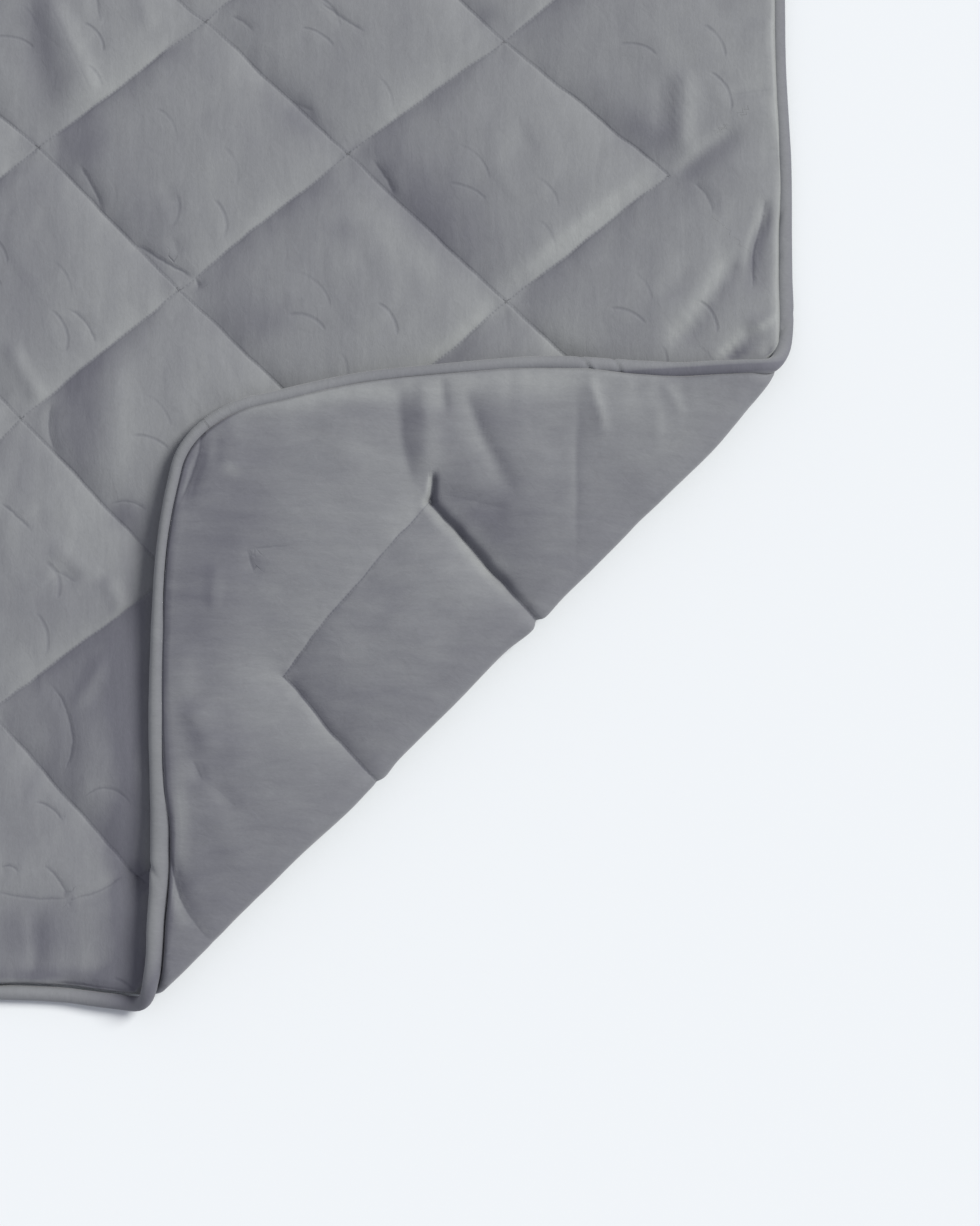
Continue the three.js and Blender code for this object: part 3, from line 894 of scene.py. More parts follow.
FLAP_NAP_AND_SHADE = [
    (347, -604, 32, 8, 10, -0.55),
    (430, -595, 62, 8, 5, -0.45),
    (540, -588, 55, 9, 2, -0.5),
    (620, -600, 60, 14, 0, -0.2),
    (298, -931, 79, 99, 0, 0.3),
    (306, -745, 24, 46, 0, 0.2),
    (334, -687, 26, 40, 0, 0.2),
    (502, -680, 30, 20, -20, 0.3),
    (327, -825, 20, 16, 0, 0.25),
    (443, -598, 112, 9, 0, -0.25),
    (492, -621, 13, 23, 20, -0.15),
    (645, -622, 30, 22, 0, -0.12),
    (443, -799, 40, 26, 45, 0.12),
    (300, -880, 5, 45, 0, -0.5),
    (350, -640, 40, 40, 0, 0.15),
    (324, -697, 28, 55, 0, 0.1),
    (309, -642, 4.5, 26, -18, 0.4),
    (302, -647, 4, 20, -14, 0.4),
    (333, -648, 6, 4.5, -30, -0.5),
    (350, -603, 20, 3.5, 12, -0.4),
    (300, -938, 6, 14, 15, -0.35),
    (500, -701, 40, 7, -50, -0.3),
    (310, -735, 30, 50, 0, 0.1),
    (608, -624, 40, 25, 0, -0.25),
]


FACE_DARKNESS, FLAP_DARKNESS = 0.5, 0.62  # of the nap between the marks
FACE_MARKS, FLAP_MARKS = 0.8, 0.7  # how strongly the marks show
NAP_DRIFT = [(0.13, 110, 51), (0.1, 45, 52)]  # strength, size, seed
FAR_DRIFT, NEAR_DRIFT, FLAP_DRIFT = 1.5, 0.4, 0.5  # how strongly the drift shows
MARKS_FADE = 60  # the drift takes over from the marks on the face over this length

# Painted light and shade: slopes that face this way are coloured lighter and those that face away
# darker, on top of the lamp's own shading. On the piping it runs against the lamp, evening out its
# shading across the cord.
FACE_PAINTED_LIGHT = np.array([0.85, -0.64])
FLAP_PAINTED_LIGHT = np.array([0.75, -0.15])
PIPING_PAINTED_LIGHT = np.array([-0.4, 0.0])
MOST_PAINTED_LIGHT = 0.5
FOLD_PAINTED_SHADE = 0.05  # painted shade: how much darker the pile is coloured where the cloth turns over


def turned_to(x, y, at_x, at_y, turn):
    """Places as seen from a point, along its direction in degrees and to the left of it."""
    cos, sin = math.cos(math.radians(turn)), math.sin(math.radians(turn))
    return (x - at_x) * cos + (y - at_y) * sin, (y - at_y) * cos - (x - at_x) * sin


def mark_darkness(marks, x, y):
    darkness = np.zeros(x.shape)
    for at_x, at_y, reach_across, reach_along, turn, dark in marks:
        over, up = turned_to(x, y, at_x, at_y, turn)
        darkness += dark * bell(np.hypot(over / reach_across, up / reach_along), 1)
    return darkness


def nap_darkness(x, y, is_back):
    """How dark the pile is coloured: its nap, and the listed marks of nap, painted shade and
    painted highlights near the turned corner.
    """
    slow = lumps(NAP_DRIFT, x, y)
    near = (smooth((x - NEAR_LEFT + MARKS_FADE) / MARKS_FADE)
            * smooth((NEAR_TOP + MARKS_FADE - y) / MARKS_FADE))
    drifted = slow * mix(FAR_DRIFT, NEAR_DRIFT, near)
    face = FACE_DARKNESS + FACE_MARKS * mark_darkness(FACE_NAP_AND_SHADE, x, y) + drifted
    flap = FLAP_DARKNESS + FLAP_MARKS * mark_darkness(FLAP_NAP_AND_SHADE, x, y) + FLAP_DRIFT * slow
    return np.where(is_back, flap, face)


def painted_slope_light(mesh, painted_light_way):
    """How far each point's slope faces the way of the painted light."""
    normals = np.empty(len(mesh.vertices) * 3, np.float32)
    mesh.vertex_normals.foreach_get("vector", normals)
    facing = (normals.reshape(-1, 3)[:, :2] * painted_light_way).sum(1)
    return np.clip(facing, -MOST_PAINTED_LIGHT, MOST_PAINTED_LIGHT)


# ------------------------------------------------------------------ The pressed leaves

# A spray of leaf outlines is pressed into each diamond of the face. A leaf is the shape
# between two arcs that meet at its tips. Its outline starts some way along it, is fainter
# on the far side, and may be a soft step more than a crisp line.
LEAVES = [  # across, along, tip's direction, half length, half width, from share, far side, crisp
    (13, 24, -84, 42, 25, -0.55, 1.0, 0.12),
    (-22, 12, -38, 18, 7, -0.8, 0.0, 1.0),
    (-24, -10, -14, 15, 5, -0.8, 0.1, 0.9),
    (26, -4, -50, 16, 6, -0.7, 0.0, 1.0),
    (28, -38, -60, 17, 7, -0.8, 0.1, 0.9),
    (-1, -36, -76, 15, 6, -0.6, 0.0, 0.7),
]
LEAF_GROOVE = 1.9  # how wide the line in the pile is
LEAF_DIP, LEAF_DIP_WIDTH = 0.35, 2.6  # how deep and wide the plush is pressed along it
LEAF_PILLOW, LEAF_RIM = 0.5, 4.5  # how far a soft leaf stands up inside, and over what width
LEAF_SOFTER = 0.75  # how much less a leaf with a crisp line stands up
LEAF_FOOT, LEAF_TIP = 0.3, 0.15  # over what share of its half length a leaf fades at its ends
LEAF_SLOPE = 0.8  # and over what share a soft leaf rises, round the start of its line
LEAF_MARGIN, LEAF_FADE = 5, 6  # the lines stop this far from a sewn line, and fade before it
LEAF_TURN, LEAF_SHIFT = 11, 7  # how far a spray is turned and shifted off its diamond's middle
LEAF_NEIGHBOUR = 5  # how near to an outline a point takes that leaf's strength
LEAF_SHOWN, LEAF_VARIES = 0.7, 0.9  # how strongly a leaf shows, and how far that varies


def leaf_radius(half_length, half_width):
    """The radius of the two arcs that bound a leaf."""
    return (half_length ** 2 + half_width ** 2) / (2 * half_width)


def leaf_outline(leaf, across, along):
    """How far outside a leaf each point lies, its share of the half length, and its side."""
    leaf_x, leaf_y, turn, half_length, half_width = leaf[:5]
    over, up = turned_to(across, along, leaf_x, leaf_y, turn)
    radius = leaf_radius(half_length, half_width)
    off = np.hypot(over, np.abs(up) + radius - half_width) - radius
    return off, over / half_length, up


def leaf_place(x, y, line):
    """Each point's place in its own diamond's spray, and how strong the spray is there."""
    column, row = quilt_place(x, y)
    over, up = np.round((column + row) / 2), np.round((column - row) / 2)
    turn = np.radians(LEAF_TURN) * scatter(over, up, 31)
    across = (over + up - column) * HALF_ACROSS - LEAF_SHIFT * scatter(over, up, 32)
    along = (row - (over - up)) * HALF_ALONG - LEAF_SHIFT * scatter(over, up, 33)
    spray_x = across * np.cos(turn) + along * np.sin(turn)
    spray_y = along * np.cos(turn) - across * np.sin(turn)
    total, weights = 0, 1e-6
    for number, leaf in enumerate(LEAVES):
        weight = bell(leaf_outline(leaf, spray_x, spray_y)[0], LEAF_NEIGHBOUR)
        shown = smooth(LEAF_SHOWN + LEAF_VARIES * scatter(over, up, 34 + number))
        total, weights = total + weight * shown, weights + weight
    return spray_x, spray_y, total / weights * smooth((line - LEAF_MARGIN) / LEAF_FADE)


def leaf_relief(across, along):
    """How far the pressed leaves stand off the plush."""
    rise = np.zeros(across.shape)
    for leaf in LEAVES:
        start, far, crisp = leaf[5:]
        off, share, up = leaf_outline(leaf, across, along)
        fade = smooth((share - start) / LEAF_FOOT) * smooth((1 - share) / LEAF_TIP)
        line = fade * bell(off, LEAF_DIP_WIDTH) * mix(far, 1, smooth(up / 2 + 0.5))
        pillow = smooth(-off / LEAF_RIM) * smooth((share - start) / LEAF_SLOPE + 0.5)
        rise = rise - LEAF_DIP * crisp * line
        rise = rise + LEAF_PILLOW * (1 - LEAF_SOFTER * crisp) * pillow
    return rise


# ------------------------------------------------------------------ The surface

FLAP_EASE = 0.66  # how much shallower the lines are on the turned corner
DEEP_LINES = [  # a line that stays deep there: from, to, how much of its depth, pinched further by
    (quilt_point(0, 1), quilt_point(1, 2), 1.0, 4.5),
    (quilt_point(1, 0), quilt_point(2, 1), 0.9, 0.8),
]
DEEP_REACH = 34  # how far to its sides a line keeps its depth
PINCH = 3.2  # how wide the pinch is
RIM_STILL = 3  # creases and folds fade out this near to the edge


def deep_lines(x, y):
    """How far the lines near each point keep their depth, and how far they are pinched."""
    kept, pinch = 0, 0
    for a, b, share, further in DEEP_LINES:
        _, gap = beside_line(a, b, x, y)
        kept = np.maximum(kept, share * bell(gap, DEEP_REACH))
        pinch = pinch + further * bell(gap, PINCH)
    return kept, pinch


def filled_heights(sewing, is_back, in_wall):
    """The offset of each point of the filled duvet from the layer's middle."""
    x, y = sewing.x, sewing.y
    face = mix(CHANNEL_FACE, CROWN, sewing.puff)
    back = CHANNEL_BACK * (1 - np.minimum(1, 2 * sewing.puff))
    kept, pinch = deep_lines(x, y)
    eased = mix(face, CROWN, FLAP_EASE * (1 - kept)) - pinch
    sewing.lap, half = edge_lap(x, y, is_back)
    half = np.where(in_wall, 0, half)
    face, eased = (
        mix(mix(height, EDGE_LEVEL, sewing.edge), PIPING_RADIUS + half, sewing.seam)
        for height in (face, eased))
    back = mix(back, PIPING_RADIUS - half, sewing.seam)
    past = past_bend(x, y)
    return np.where(is_back, off_middle(past, back, eased), off_middle(past, face, back))


def surface_heights(x, y, is_back, in_wall):
    """The offset of each point from the layer's middle, towards the face, with all detail."""
    sewing = Sewing(x, y)
    offset = filled_heights(sewing, is_back, in_wall)
    place = nudged(folded(x, y, offset))
    over, up = place[:, 0], place[:, 1]
    on_face = crease_heights(FACE_CREASES + scattered_creases(), FACE_FOLDS, over, up)
    on_flap = crease_heights(FLAP_CREASES, FLAP_FOLDS, over, up)
    soft = 1 - np.exp(-sewing.rim / RIM_STILL)
    spray_x, spray_y, strength = leaf_place(x, y, sewing.line)
    leaves = leaf_relief(spray_x, spray_y) * strength
    detail = lumps(FILLING_LUMPS, x, y) * sewing.puff + gathers(sewing)
    detail = detail + np.where(is_back, on_flap * soft, on_face * soft + leaves)
    past = past_bend(x, y)
    shows = np.where(is_back, turned(past), 1 - turned(past))
    detail = detail * shows * np.where(is_back, -1, 1)
    sewing.spray = np.stack([spray_x, spray_y, strength * np.where(is_back, 0, 1)], -1)
    on_face, on_flap = crisp_creases(FACE_CREASES, over, up), crisp_creases(FLAP_CREASES, over, up)
    sewing.gap, sewing.crisp = np.where(is_back, on_flap, on_face)
    sewing.crisp = sewing.crisp * shows
    sewing.nap = nap_darkness(over, up, is_back)
    return offset + detail, sewing


# ------------------------------------------------------------------ Making meshes

FOLD_EASE = 1.4  # how far the edge is let out where it turns over the bend
EASE_REACH = 14  # how far in from the edge, and from the fold, that is felt
WALL_INSET = 1.8  # how far in the middle of the edge's wall lies, behind the piping
WALL_LEVEL = 0.9  # the flat mesh's wall lies between this level and the same below 0


def add_vector(mesh, name, *columns):
    layer = mesh.attributes.new(name, "FLOAT_VECTOR", "POINT")
    layer.data.foreach_set("vector", np.stack(columns, -1).astype(np.float32).ravel())


def smooth_shaded(mesh):
    mesh.polygons.foreach_set("use_smooth", [True] * len(mesh.polygons))
    mesh.update()


def add_object(name, data):
    made = bpy.data.objects.new(name, data)
    bpy.context.scene.collection.objects.link(made)
    return made


def fold_ease(over):
    """How far the edge is let out, most where it is half turned over."""
    return FOLD_EASE * 4 * over * (1 - over)


def let_out(x, y, sewing, in_wall):
    """How far each point of the flat pattern moves outward, by the bend and by the piping."""
    ease = fold_ease(turned(past_bend(x, y))) * bell(sewing.rim, EASE_REACH)
    ease = ease + np.where(in_wall, -WALL_INSET, sewing.lap * np.exp(-sewing.rim / LAP_REACH))
    around = sewing.around - ROUND / 2
    outward = edge_point(around, 1.0) - edge_point(around)
    return ease * outward[:, 0], ease * outward[:, 1]


def make_duvet():
    flat = flat_duvet()
    mesh = bpy.data.meshes.new("duvet_plush")
    flat.to_mesh(mesh)
    flat.free()
    co = np.empty(len(mesh.vertices) * 3)
    mesh.vertices.foreach_get("co", co)
    x, y, level = co.reshape(-1, 3).T
    is_back, in_wall = level < -WALL_LEVEL, np.abs(level) < WALL_LEVEL
    offset, sewing = surface_heights(x, y, is_back, in_wall)
    stray_x, stray_y = strayed(sewing)
    out_x, out_y = let_out(x, y, sewing, in_wall)
    places = nudged(folded(x + stray_x + out_x, y + stray_y + out_y, offset))
    mesh.vertices.foreach_set("co", (places * MM).ravel())
    add_vector(mesh, "cloth", x * MM, y * MM, np.where(is_back, 1.0, 0.0))
    add_vector(mesh, "sewing", sewing.line * MM, sewing.along * MM, 0 * x)
    add_vector(mesh, "spray", *(sewing.spray * (MM, MM, 1)).T)
    smooth_shaded(mesh)
    # Over the bend the painted slope light is left off, and painted shade darkens the lit turned
    # edge.
    at_fold = bell(np.maximum(past_bend(x, y) - BEND_LENGTH, 0), EASE_REACH) * is_back
    painted_light_way = np.where(is_back[:, None], FLAP_PAINTED_LIGHT, FACE_PAINTED_LIGHT)
    nap = sewing.nap - painted_slope_light(mesh, painted_light_way) * (1 - at_fold) + FOLD_PAINTED_SHADE * at_fold
    # The crease attribute carries the painted crease line's gap and strength, and the nap with its
    # painted shade and light.
    add_vector(mesh, "crease", sewing.gap * MM, sewing.crisp, nap)
    return add_object("duvet_plush", mesh)


# ------------------------------------------------------------------ The piping

PIPING_SIDES = 18
PIPING_STEP_CLOSE, PIPING_STEP = 1.3, 12  # from one ring to the next
PIPING_BEFORE_FOLD = 40  # the rings are close from this far before the bend
PIPING_UNEVEN = 0.12  # how far the cord's radius varies

# Small folds across the piping, where its ends overlap and where it turns.
PIPING_TUCKS = [  # x, y, direction of the fold in degrees, width, depth
    (567, -580, -52, 1.2, 1.4),
    (571, -582, -50, 1.2, -0.7),
    (586, -579, -64, 1.1, 1.0),
    (590, -582, -60, 1.2, -0.5),
    (696, -553, 55, 1.5, 1.3),
    (282, -913, -60, 1.6, 1.0),
    (694, -479, 70, 1.6, 0.7),
    (695, -502, 70, 1.8, 0.6),
]
TUCK_REACH = 9  # how far a small fold is felt along the piping

PIPING_FULL = [  # x, y, reach, how much further the piping spreads to its sides there
    (292, -880, 90, 2.0),
    (702, -535, 45, 0.9),
    (620, -584, 60, 0.8),
    (300, -710, 60, -0.6),
]
# Painted shade on the piping: its lower side along the turned corner's top edge, and its corner in
# the fold's shadow at the foot.
PIPING_PAINTED_SHADE = [  # x, y, reach across, reach along, turn in degrees, darkness
    (600, -585.5, 34, 2.8, 4, 1.0),
    (655, -582, 38, 2.8, 4, 1.1),
    (268, -992, 26, 20, 0, 0.6),
    (480, -584, 120, 8, 0, 0.15),
]
PIPING_DARKNESS = 0.5  # of the nap between the marks


def piping_rounds():
    """Stations round the edge, close together where the piping shows close."""
    stations, around = [], 0.0
    while around < ROUND:
        stations.append(around)
        x, y = edge_point(around)
        close = (x > NEAR_LEFT and y < NEAR_TOP) or past_bend(x, y) > -PIPING_BEFORE_FOLD
        around += PIPING_STEP_CLOSE if close else PIPING_STEP
    return np.array(stations[:-1] if ROUND - stations[-1] < 1 else stations)


def unit(vectors):
    return vectors / np.linalg.norm(vectors, axis=1)[:, None]


def piping_path(around):
    """The piping's middle line, with the directions across it and up from it."""
    x, y = edge_point(around).T
    over = turned(past_bend(x, y))
    x, y = edge_point(around, PIPING_RADIUS + PIECE_GAP + fold_ease(over)).T
    offset = mix(PIPING_RADIUS - MIDDLE, MIDDLE - PIPING_RADIUS, over)
    middle = folded(x, y, offset)
    up = folded(x, y, offset + 1) - middle
    middle = nudged(middle)
    ahead = unit(np.roll(middle, -1, 0) - np.roll(middle, 1, 0))
    across = unit(np.cross(ahead, up))
    return middle[:, None], across[:, None], np.cross(across, ahead)[:, None]


def piping_rings(around, angle):
    """Rings of points round the piping, with its full places and its small folds."""
    middle, across, rise = piping_path(around)
    radius = PIPING_RADIUS + PIPING_UNEVEN * uneven(around, around * 0, 14, 11)[:, None]
    wide = radius + sum(
        more * bell(np.hypot(middle[..., 0] - at_x, middle[..., 1] - at_y), reach)
        for at_x, at_y, reach, more in PIPING_FULL)
    rings = (middle + across * (wide * np.cos(angle))[..., None]
             + rise * (radius * np.sin(angle))[..., None])
    for at_x, at_y, turn, width, depth in PIPING_TUCKS:
        over, up = turned_to(rings[..., 0], rings[..., 1], at_x, at_y, turn)
        weight = depth * bell(up, width) * bell(np.hypot(over, up), TUCK_REACH)
        rings = rings + (middle - rings) * (weight / PIPING_RADIUS)[..., None]
    return rings


def make_piping():
    around = piping_rounds()
    angle = np.arange(PIPING_SIDES) * 2 * math.pi / PIPING_SIDES
    points = piping_rings(around, angle).reshape(-1, 3)
    here = np.arange(len(points)).reshape(-1, PIPING_SIDES)
    ahead, beside = np.roll(here, -1, 0), np.roll(here, -1, 1)
    faces = np.stack([here, ahead, np.roll(ahead, -1, 1), beside], -1).reshape(-1, 4)
    mesh = bpy.data.meshes.new("piping_plush")
    mesh.from_pydata((points * MM).tolist(), [], faces.tolist())
    along, about = np.meshgrid(around * MM, angle * PIPING_RADIUS * MM, indexing="ij")
    add_vector(mesh, "cloth", along.ravel(), about.ravel(), np.zeros(len(points)))
    smooth_shaded(mesh)
    # The piping's darkness: its nap, the painted shade marks, and painted light and shade that even
    # out the lamp's shading across the cord.
    nap = PIPING_DARKNESS + mark_darkness(PIPING_PAINTED_SHADE, points[:, 0], points[:, 1])
    nap = nap - painted_slope_light(mesh, PIPING_PAINTED_LIGHT)
    add_vector(mesh, "crease", 0 * nap, 0 * nap, nap)
    return add_object("piping_plush", mesh)


# ------------------------------------------------------------------ Finishes


class Nodes:
    """Short ways to add nodes to a tree and to join them."""

    def __init__(self, tree):
        self.tree = tree

    def add(self, kind, name=None, **settings):
        node = self.tree.nodes.new("ShaderNode" + kind)
        if name:
            node.label = node.name = name
        for key, value in settings.items():
            setattr(node, key, value)
        return node

    def feed(self, socket, value):
        if isinstance(value, bpy.types.NodeSocket):
            self.tree.links.new(value, socket)
        else:
            socket.default_value = value

    def math(self, operation, *values, clamp=False):
        node = self.add("Math", operation=operation, use_clamp=clamp)
        for socket, value in zip(node.inputs, values):
            self.feed(socket, value)
        return node.outputs[0]

    def vector(self, operation, *values):
        node = self.add("VectorMath", operation=operation)
        for socket, value in zip(node.inputs, values):
            self.feed(socket, value)
        return node.outputs["Value" if operation == "LENGTH" else "Vector"]

    def flat(self, x, y):
        node = self.add("CombineXYZ")
        self.feed(node.inputs[0], x)
        self.feed(node.inputs[1], y)
        return node.outputs[0]

    def split(self, vector):
        node = self.add("SeparateXYZ")
        self.feed(node.inputs[0], vector)
        return node.outputs

    def ramp(self, value, low, high, to_low=0.0, to_high=1.0, soft=True):
        node = self.add("MapRange", interpolation_type="SMOOTHSTEP" if soft else "LINEAR")
        for socket, setting in zip(node.inputs, (value, low, high, to_low, to_high)):
            self.feed(socket, setting)
        return node.outputs[0]

    def noise(self, place, scale, detail, roughness, distortion=0.0):
        node = self.add("TexNoise")
        self.feed(node.inputs["Vector"], place)
        self.feed(node.inputs["Scale"], scale)
        self.feed(node.inputs["Detail"], detail)
        self.feed(node.inputs["Roughness"], roughness)
        self.feed(node.inputs["Distortion"], distortion)
        return node.outputs[0]

    def streaks(self, place, squeeze, turn, *noise):
        """Noise to both sides of 0, drawn out along y as far as y is squeezed, and turned."""
        node = self.add("Mapping")
        self.feed(node.inputs["Vector"], place)
        node.inputs["Scale"].default_value = (1, squeeze, 1)
        node.inputs["Rotation"].default_value = (0, 0, math.radians(turn))
        return self.math("SUBTRACT", self.noise(node.outputs[0], *noise), 0.5)

    def attribute(self, name):
        return self.add("Attribute", name, attribute_name=name).outputs["Vector"]

    def mix_colour(self, factor, first, second, blend="MIX"):
        node = self.add("Mix", data_type="RGBA", blend_type=blend)
        self.feed(node.inputs[0], factor)
        self.feed(node.inputs[6], first)
        self.feed(node.inputs[7], second)
        return node.outputs[2]

    def use(self, group, **values):
        node = self.add("Group", group.name)
        node.node_tree = group
        for key, value in values.items():
            self.feed(node.inputs[key.replace("_", " ")], value)
        return node.outputs


def node_group(name, inputs, outputs):
    """An empty group, with its nodes, its inputs and its outputs."""
    group = bpy.data.node_groups.new(name, "ShaderNodeTree")
    for socket, kind in inputs:
        group.interface.new_socket(name=socket, in_out="INPUT", socket_type="NodeSocket" + kind)
    for socket, kind in outputs:
        group.interface.new_socket(name=socket, in_out="OUTPUT", socket_type="NodeSocket" + kind)
    given = group.nodes.new("NodeGroupInput")
    result = group.nodes.new("NodeGroupOutput")
    return group, Nodes(group), given.outputs, result.inputs


# The streaks that make up the pile, from a fine grain over tufts to a hand's strokes, and
# those that fray the edges of the marks of nap and painted shade. After the squeeze and the
# turn in degrees come the noise's own settings: scale, detail, roughness and distortion.
PILE_LAYERS = [  # squeeze, turn, four of the noise, tone, height, a stroke or not
    (0.35, 0, 1500, 2, 0.6, 0.0, 0.2, 0.00004, False),
    (0.45, 0, 620, 3, 0.65, 0.0, 0.3, 0.0001, False),
    (0.55, 0, 130, 4, 0.6, 0.8, 0.25, 0.00035, False),
    (0.1, 4, 230, 3, 0.55, 0.4, 0.2, 0.0001, True),
]
MARK_FRAY = [  # squeeze, turn, four of the noise
    (0.55, 12, 22, 3, 0.55, 0.7),
    (0.25, 3, 95, 4, 0.65, 0.5),
]


def brushed_pile():
    """Short pile: a fine grain, tufts, and longer strokes where a hand has brushed it."""
    group, nodes, given, result = node_group(
        "brushed pile", [("Place", "Vector"), ("Strokes", "Float")],
        [("Tone", "Float"), ("Height", "Float")])
    tone, height = 0.0, 0.0
    for *streaks, shade, rise, is_stroke in PILE_LAYERS:
        layer = nodes.streaks(given["Place"], *streaks)
        if is_stroke:
            layer = nodes.math("MULTIPLY", layer, given["Strokes"])
        tone = nodes.math("MULTIPLY_ADD", layer, shade, tone)
        height = nodes.math("MULTIPLY_ADD", layer, rise, height)
    nodes.feed(result["Tone"], tone)
    nodes.feed(result["Height"], height)
    return group


def nap_marks():
    """How dark the nap and its painted shade are, from a soft darkness, with edges that run along
    the strokes.
    """
    group, nodes, given, result = node_group(
        "nap marks", [("Place", "Vector"), ("Darkness", "Float"), ("Raggedness", "Float")],
        [("Mask", "Float")])
    fray = nodes.math("ADD", *(nodes.streaks(given["Place"], *streaks) for streaks in MARK_FRAY))
    dark = nodes.math("MULTIPLY_ADD", fray, given["Raggedness"], given["Darkness"], clamp=True)
    nodes.feed(result["Mask"], dark)
    return group


CREASE_LINE, CREASE_STRAY = 0.0013, 0.0016  # how wide a crease's line of painted shade is, and how far it strays
CREASE_DIP, CREASE_DIP_WIDTH = 0.0004, 0.0024  # how deep and wide the pile is pressed there


def sharp_crease():
    """Painted shade: the thin dark line coloured along a sharp crease, with a small dip in the
    pile.
    """
    group, nodes, given, result = node_group(
        "sharp crease", [("Gap", "Float"), ("Strength", "Float"), ("Place", "Vector")],
        [("Line", "Float"), ("Height", "Float")])
    stray = nodes.math("SUBTRACT", nodes.noise(given["Place"], 260, 3, 0.6), 0.5)
    gap = nodes.math("ABSOLUTE", nodes.math("MULTIPLY_ADD", stray, CREASE_STRAY, given["Gap"]))
    line = nodes.ramp(gap, 0.0, CREASE_LINE, 1.0, 0.0)
    dip = nodes.ramp(gap, 0.0, CREASE_DIP_WIDTH, -CREASE_DIP, 0.0)
    nodes.feed(result["Line"], nodes.math("MULTIPLY", line, given["Strength"]))
    nodes.feed(result["Height"], nodes.math("MULTIPLY", dip, given["Strength"]))
    return group


STITCH = 0.0026  # from one stitch to the next
STITCH_LINE = 0.0018  # how wide the stitches' dark line is at most, and the groove in the pile
STITCH_BEAT = 0.00015  # how much wider the line gets at each stitch, and how far that stands up
STITCH_DIP = 0.00025  # how deep the groove is


def sewn_line():
    """The thin dark line where a row of stitches pulls the pile down, partly painted shade in the
    stitched groove.
    """
    group, nodes, given, result = node_group(
        "sewn line", [("Distance", "Float"), ("Along", "Float")],
        [("Mask", "Float"), ("Height", "Float")])
    along = nodes.math("MULTIPLY", given["Along"], 2 * math.pi / STITCH)
    beat = nodes.math("MULTIPLY_ADD", nodes.math("SINE", along), 0.5, 0.5)
    place = nodes.flat(given["Along"], given["Distance"])
    ragged = nodes.math("MULTIPLY", nodes.noise(place, 700, 3, 0.6), STITCH_LINE)
    reach = nodes.math("MULTIPLY_ADD", beat, STITCH_BEAT, ragged)
    line = nodes.ramp(given["Distance"], 0.0, reach, 1.0, 0.0)
    slow = nodes.ramp(nodes.noise(place, 60, 2, 0.5), 0.3, 0.7, 0.35, 1.0)
    nodes.feed(result["Mask"], nodes.math("MULTIPLY", line, slow))
    dip = nodes.ramp(given["Distance"], 0.0, STITCH_LINE, -STITCH_DIP, 0.0)
    knot = nodes.math("MULTIPLY", nodes.math("MULTIPLY", line, beat), STITCH_BEAT)
    nodes.feed(result["Height"], nodes.math("ADD", dip, knot))
    return group


LEAF_LINE_DIP = 0.0003  # how deep the pile is pressed along a leaf's line
LEAF_LINE_TIP = 0.8  # the line fades from this share of the half length to the tip
LEAF_LINE_SIDES = 0.001  # and the far side's line starts this near to the leaf's middle


def pressed_leaves():
    """The leaf outlines of one diamond, from a point's place in its spray."""
    group, nodes, given, result = node_group(
        "pressed leaves", [("Place", "Vector"), ("Strength", "Float")],
        [("Line", "Float"), ("Height", "Float")])
    pressed = 0.0
    for leaf_x, leaf_y, turn, half_length, half_width, start, far, crisp in LEAVES:
        at_leaf = nodes.add("Mapping", vector_type="TEXTURE")
        nodes.feed(at_leaf.inputs["Vector"], given["Place"])
        at_leaf.inputs["Location"].default_value = (leaf_x * MM, leaf_y * MM, 0)
        at_leaf.inputs["Rotation"].default_value = (0, 0, math.radians(turn))
        over, up, _ = nodes.split(at_leaf.outputs[0])
        radius = leaf_radius(half_length, half_width)
        drop = nodes.math("ADD", nodes.math("ABSOLUTE", up), (radius - half_width) * MM)
        arm = nodes.vector("LENGTH", nodes.flat(over, drop))
        off = nodes.math("SUBTRACT", arm, radius * MM)
        line = nodes.ramp(nodes.math("ABSOLUTE", off), 0.0, LEAF_GROOVE * MM, 1.0, 0.0)
        share = nodes.math("DIVIDE", over, half_length * MM)
        line = nodes.math("MULTIPLY", line, nodes.ramp(share, start, start + LEAF_FOOT))
        tip = nodes.ramp(share, LEAF_LINE_TIP, 1.0, crisp, 0.0)
        side = nodes.ramp(up, -LEAF_LINE_SIDES, LEAF_LINE_SIDES, far, 1.0)
        line = nodes.math("MULTIPLY", nodes.math("MULTIPLY", line, tip), side)
        pressed = nodes.math("MAXIMUM", pressed, line)
    pressed = nodes.math("MULTIPLY", pressed, given["Strength"])
    nodes.feed(result["Line"], pressed)
    nodes.feed(result["Height"], nodes.math("MULTIPLY", pressed, -LEAF_LINE_DIP))
    return group


# The two tones that the marks mix between: light and dark nap, which also carry the painted
# highlights and the painted shade.
LIGHT_NAP_AND_HIGHLIGHT = (0.288, 0.302, 0.303, 1)
DARK_NAP_AND_SHADE = (0.127, 0.130, 0.152, 1)
SEWN_LINE_AND_SHADE = (0.72, 0.72, 0.76, 1)
LEAF_SHADE = (0.86, 0.86, 0.88, 1)
CREASE_PAINTED_SHADE = (0.62, 0.62, 0.66, 1)
PILE_SHADING = 0.55  # how strongly the pile's tone lightens and darkens the colour
ROUGHNESS, PILE_ROUGHNESS = 0.86, 0.2  # and what the tone adds to the roughness
SHEEN, SHEEN_ROUGHNESS, SPECULAR = 0.22, 0.45, 0.2
FLOOR_COLOUR, FLOOR_ROUGHNESS = (0.763, 0.800, 0.817, 1), 0.9
FACE_FRAY, BACK_FRAY, PIPING_FRAY = 0.27, 0.36, 0.15  # how ragged the marks of nap and painted shade are
FACE_STITCHES, BACK_STITCHES = 0.6, 1.4  # how dark the sewn lines are, with their painted groove shade
PIPING_STROKES = 0.4  # how strongly the piping shows a hand's strokes


def new_material(name):
    material = bpy.data.materials.new(name)
    material.use_nodes = True
    return material, material.node_tree.nodes["Principled BSDF"]


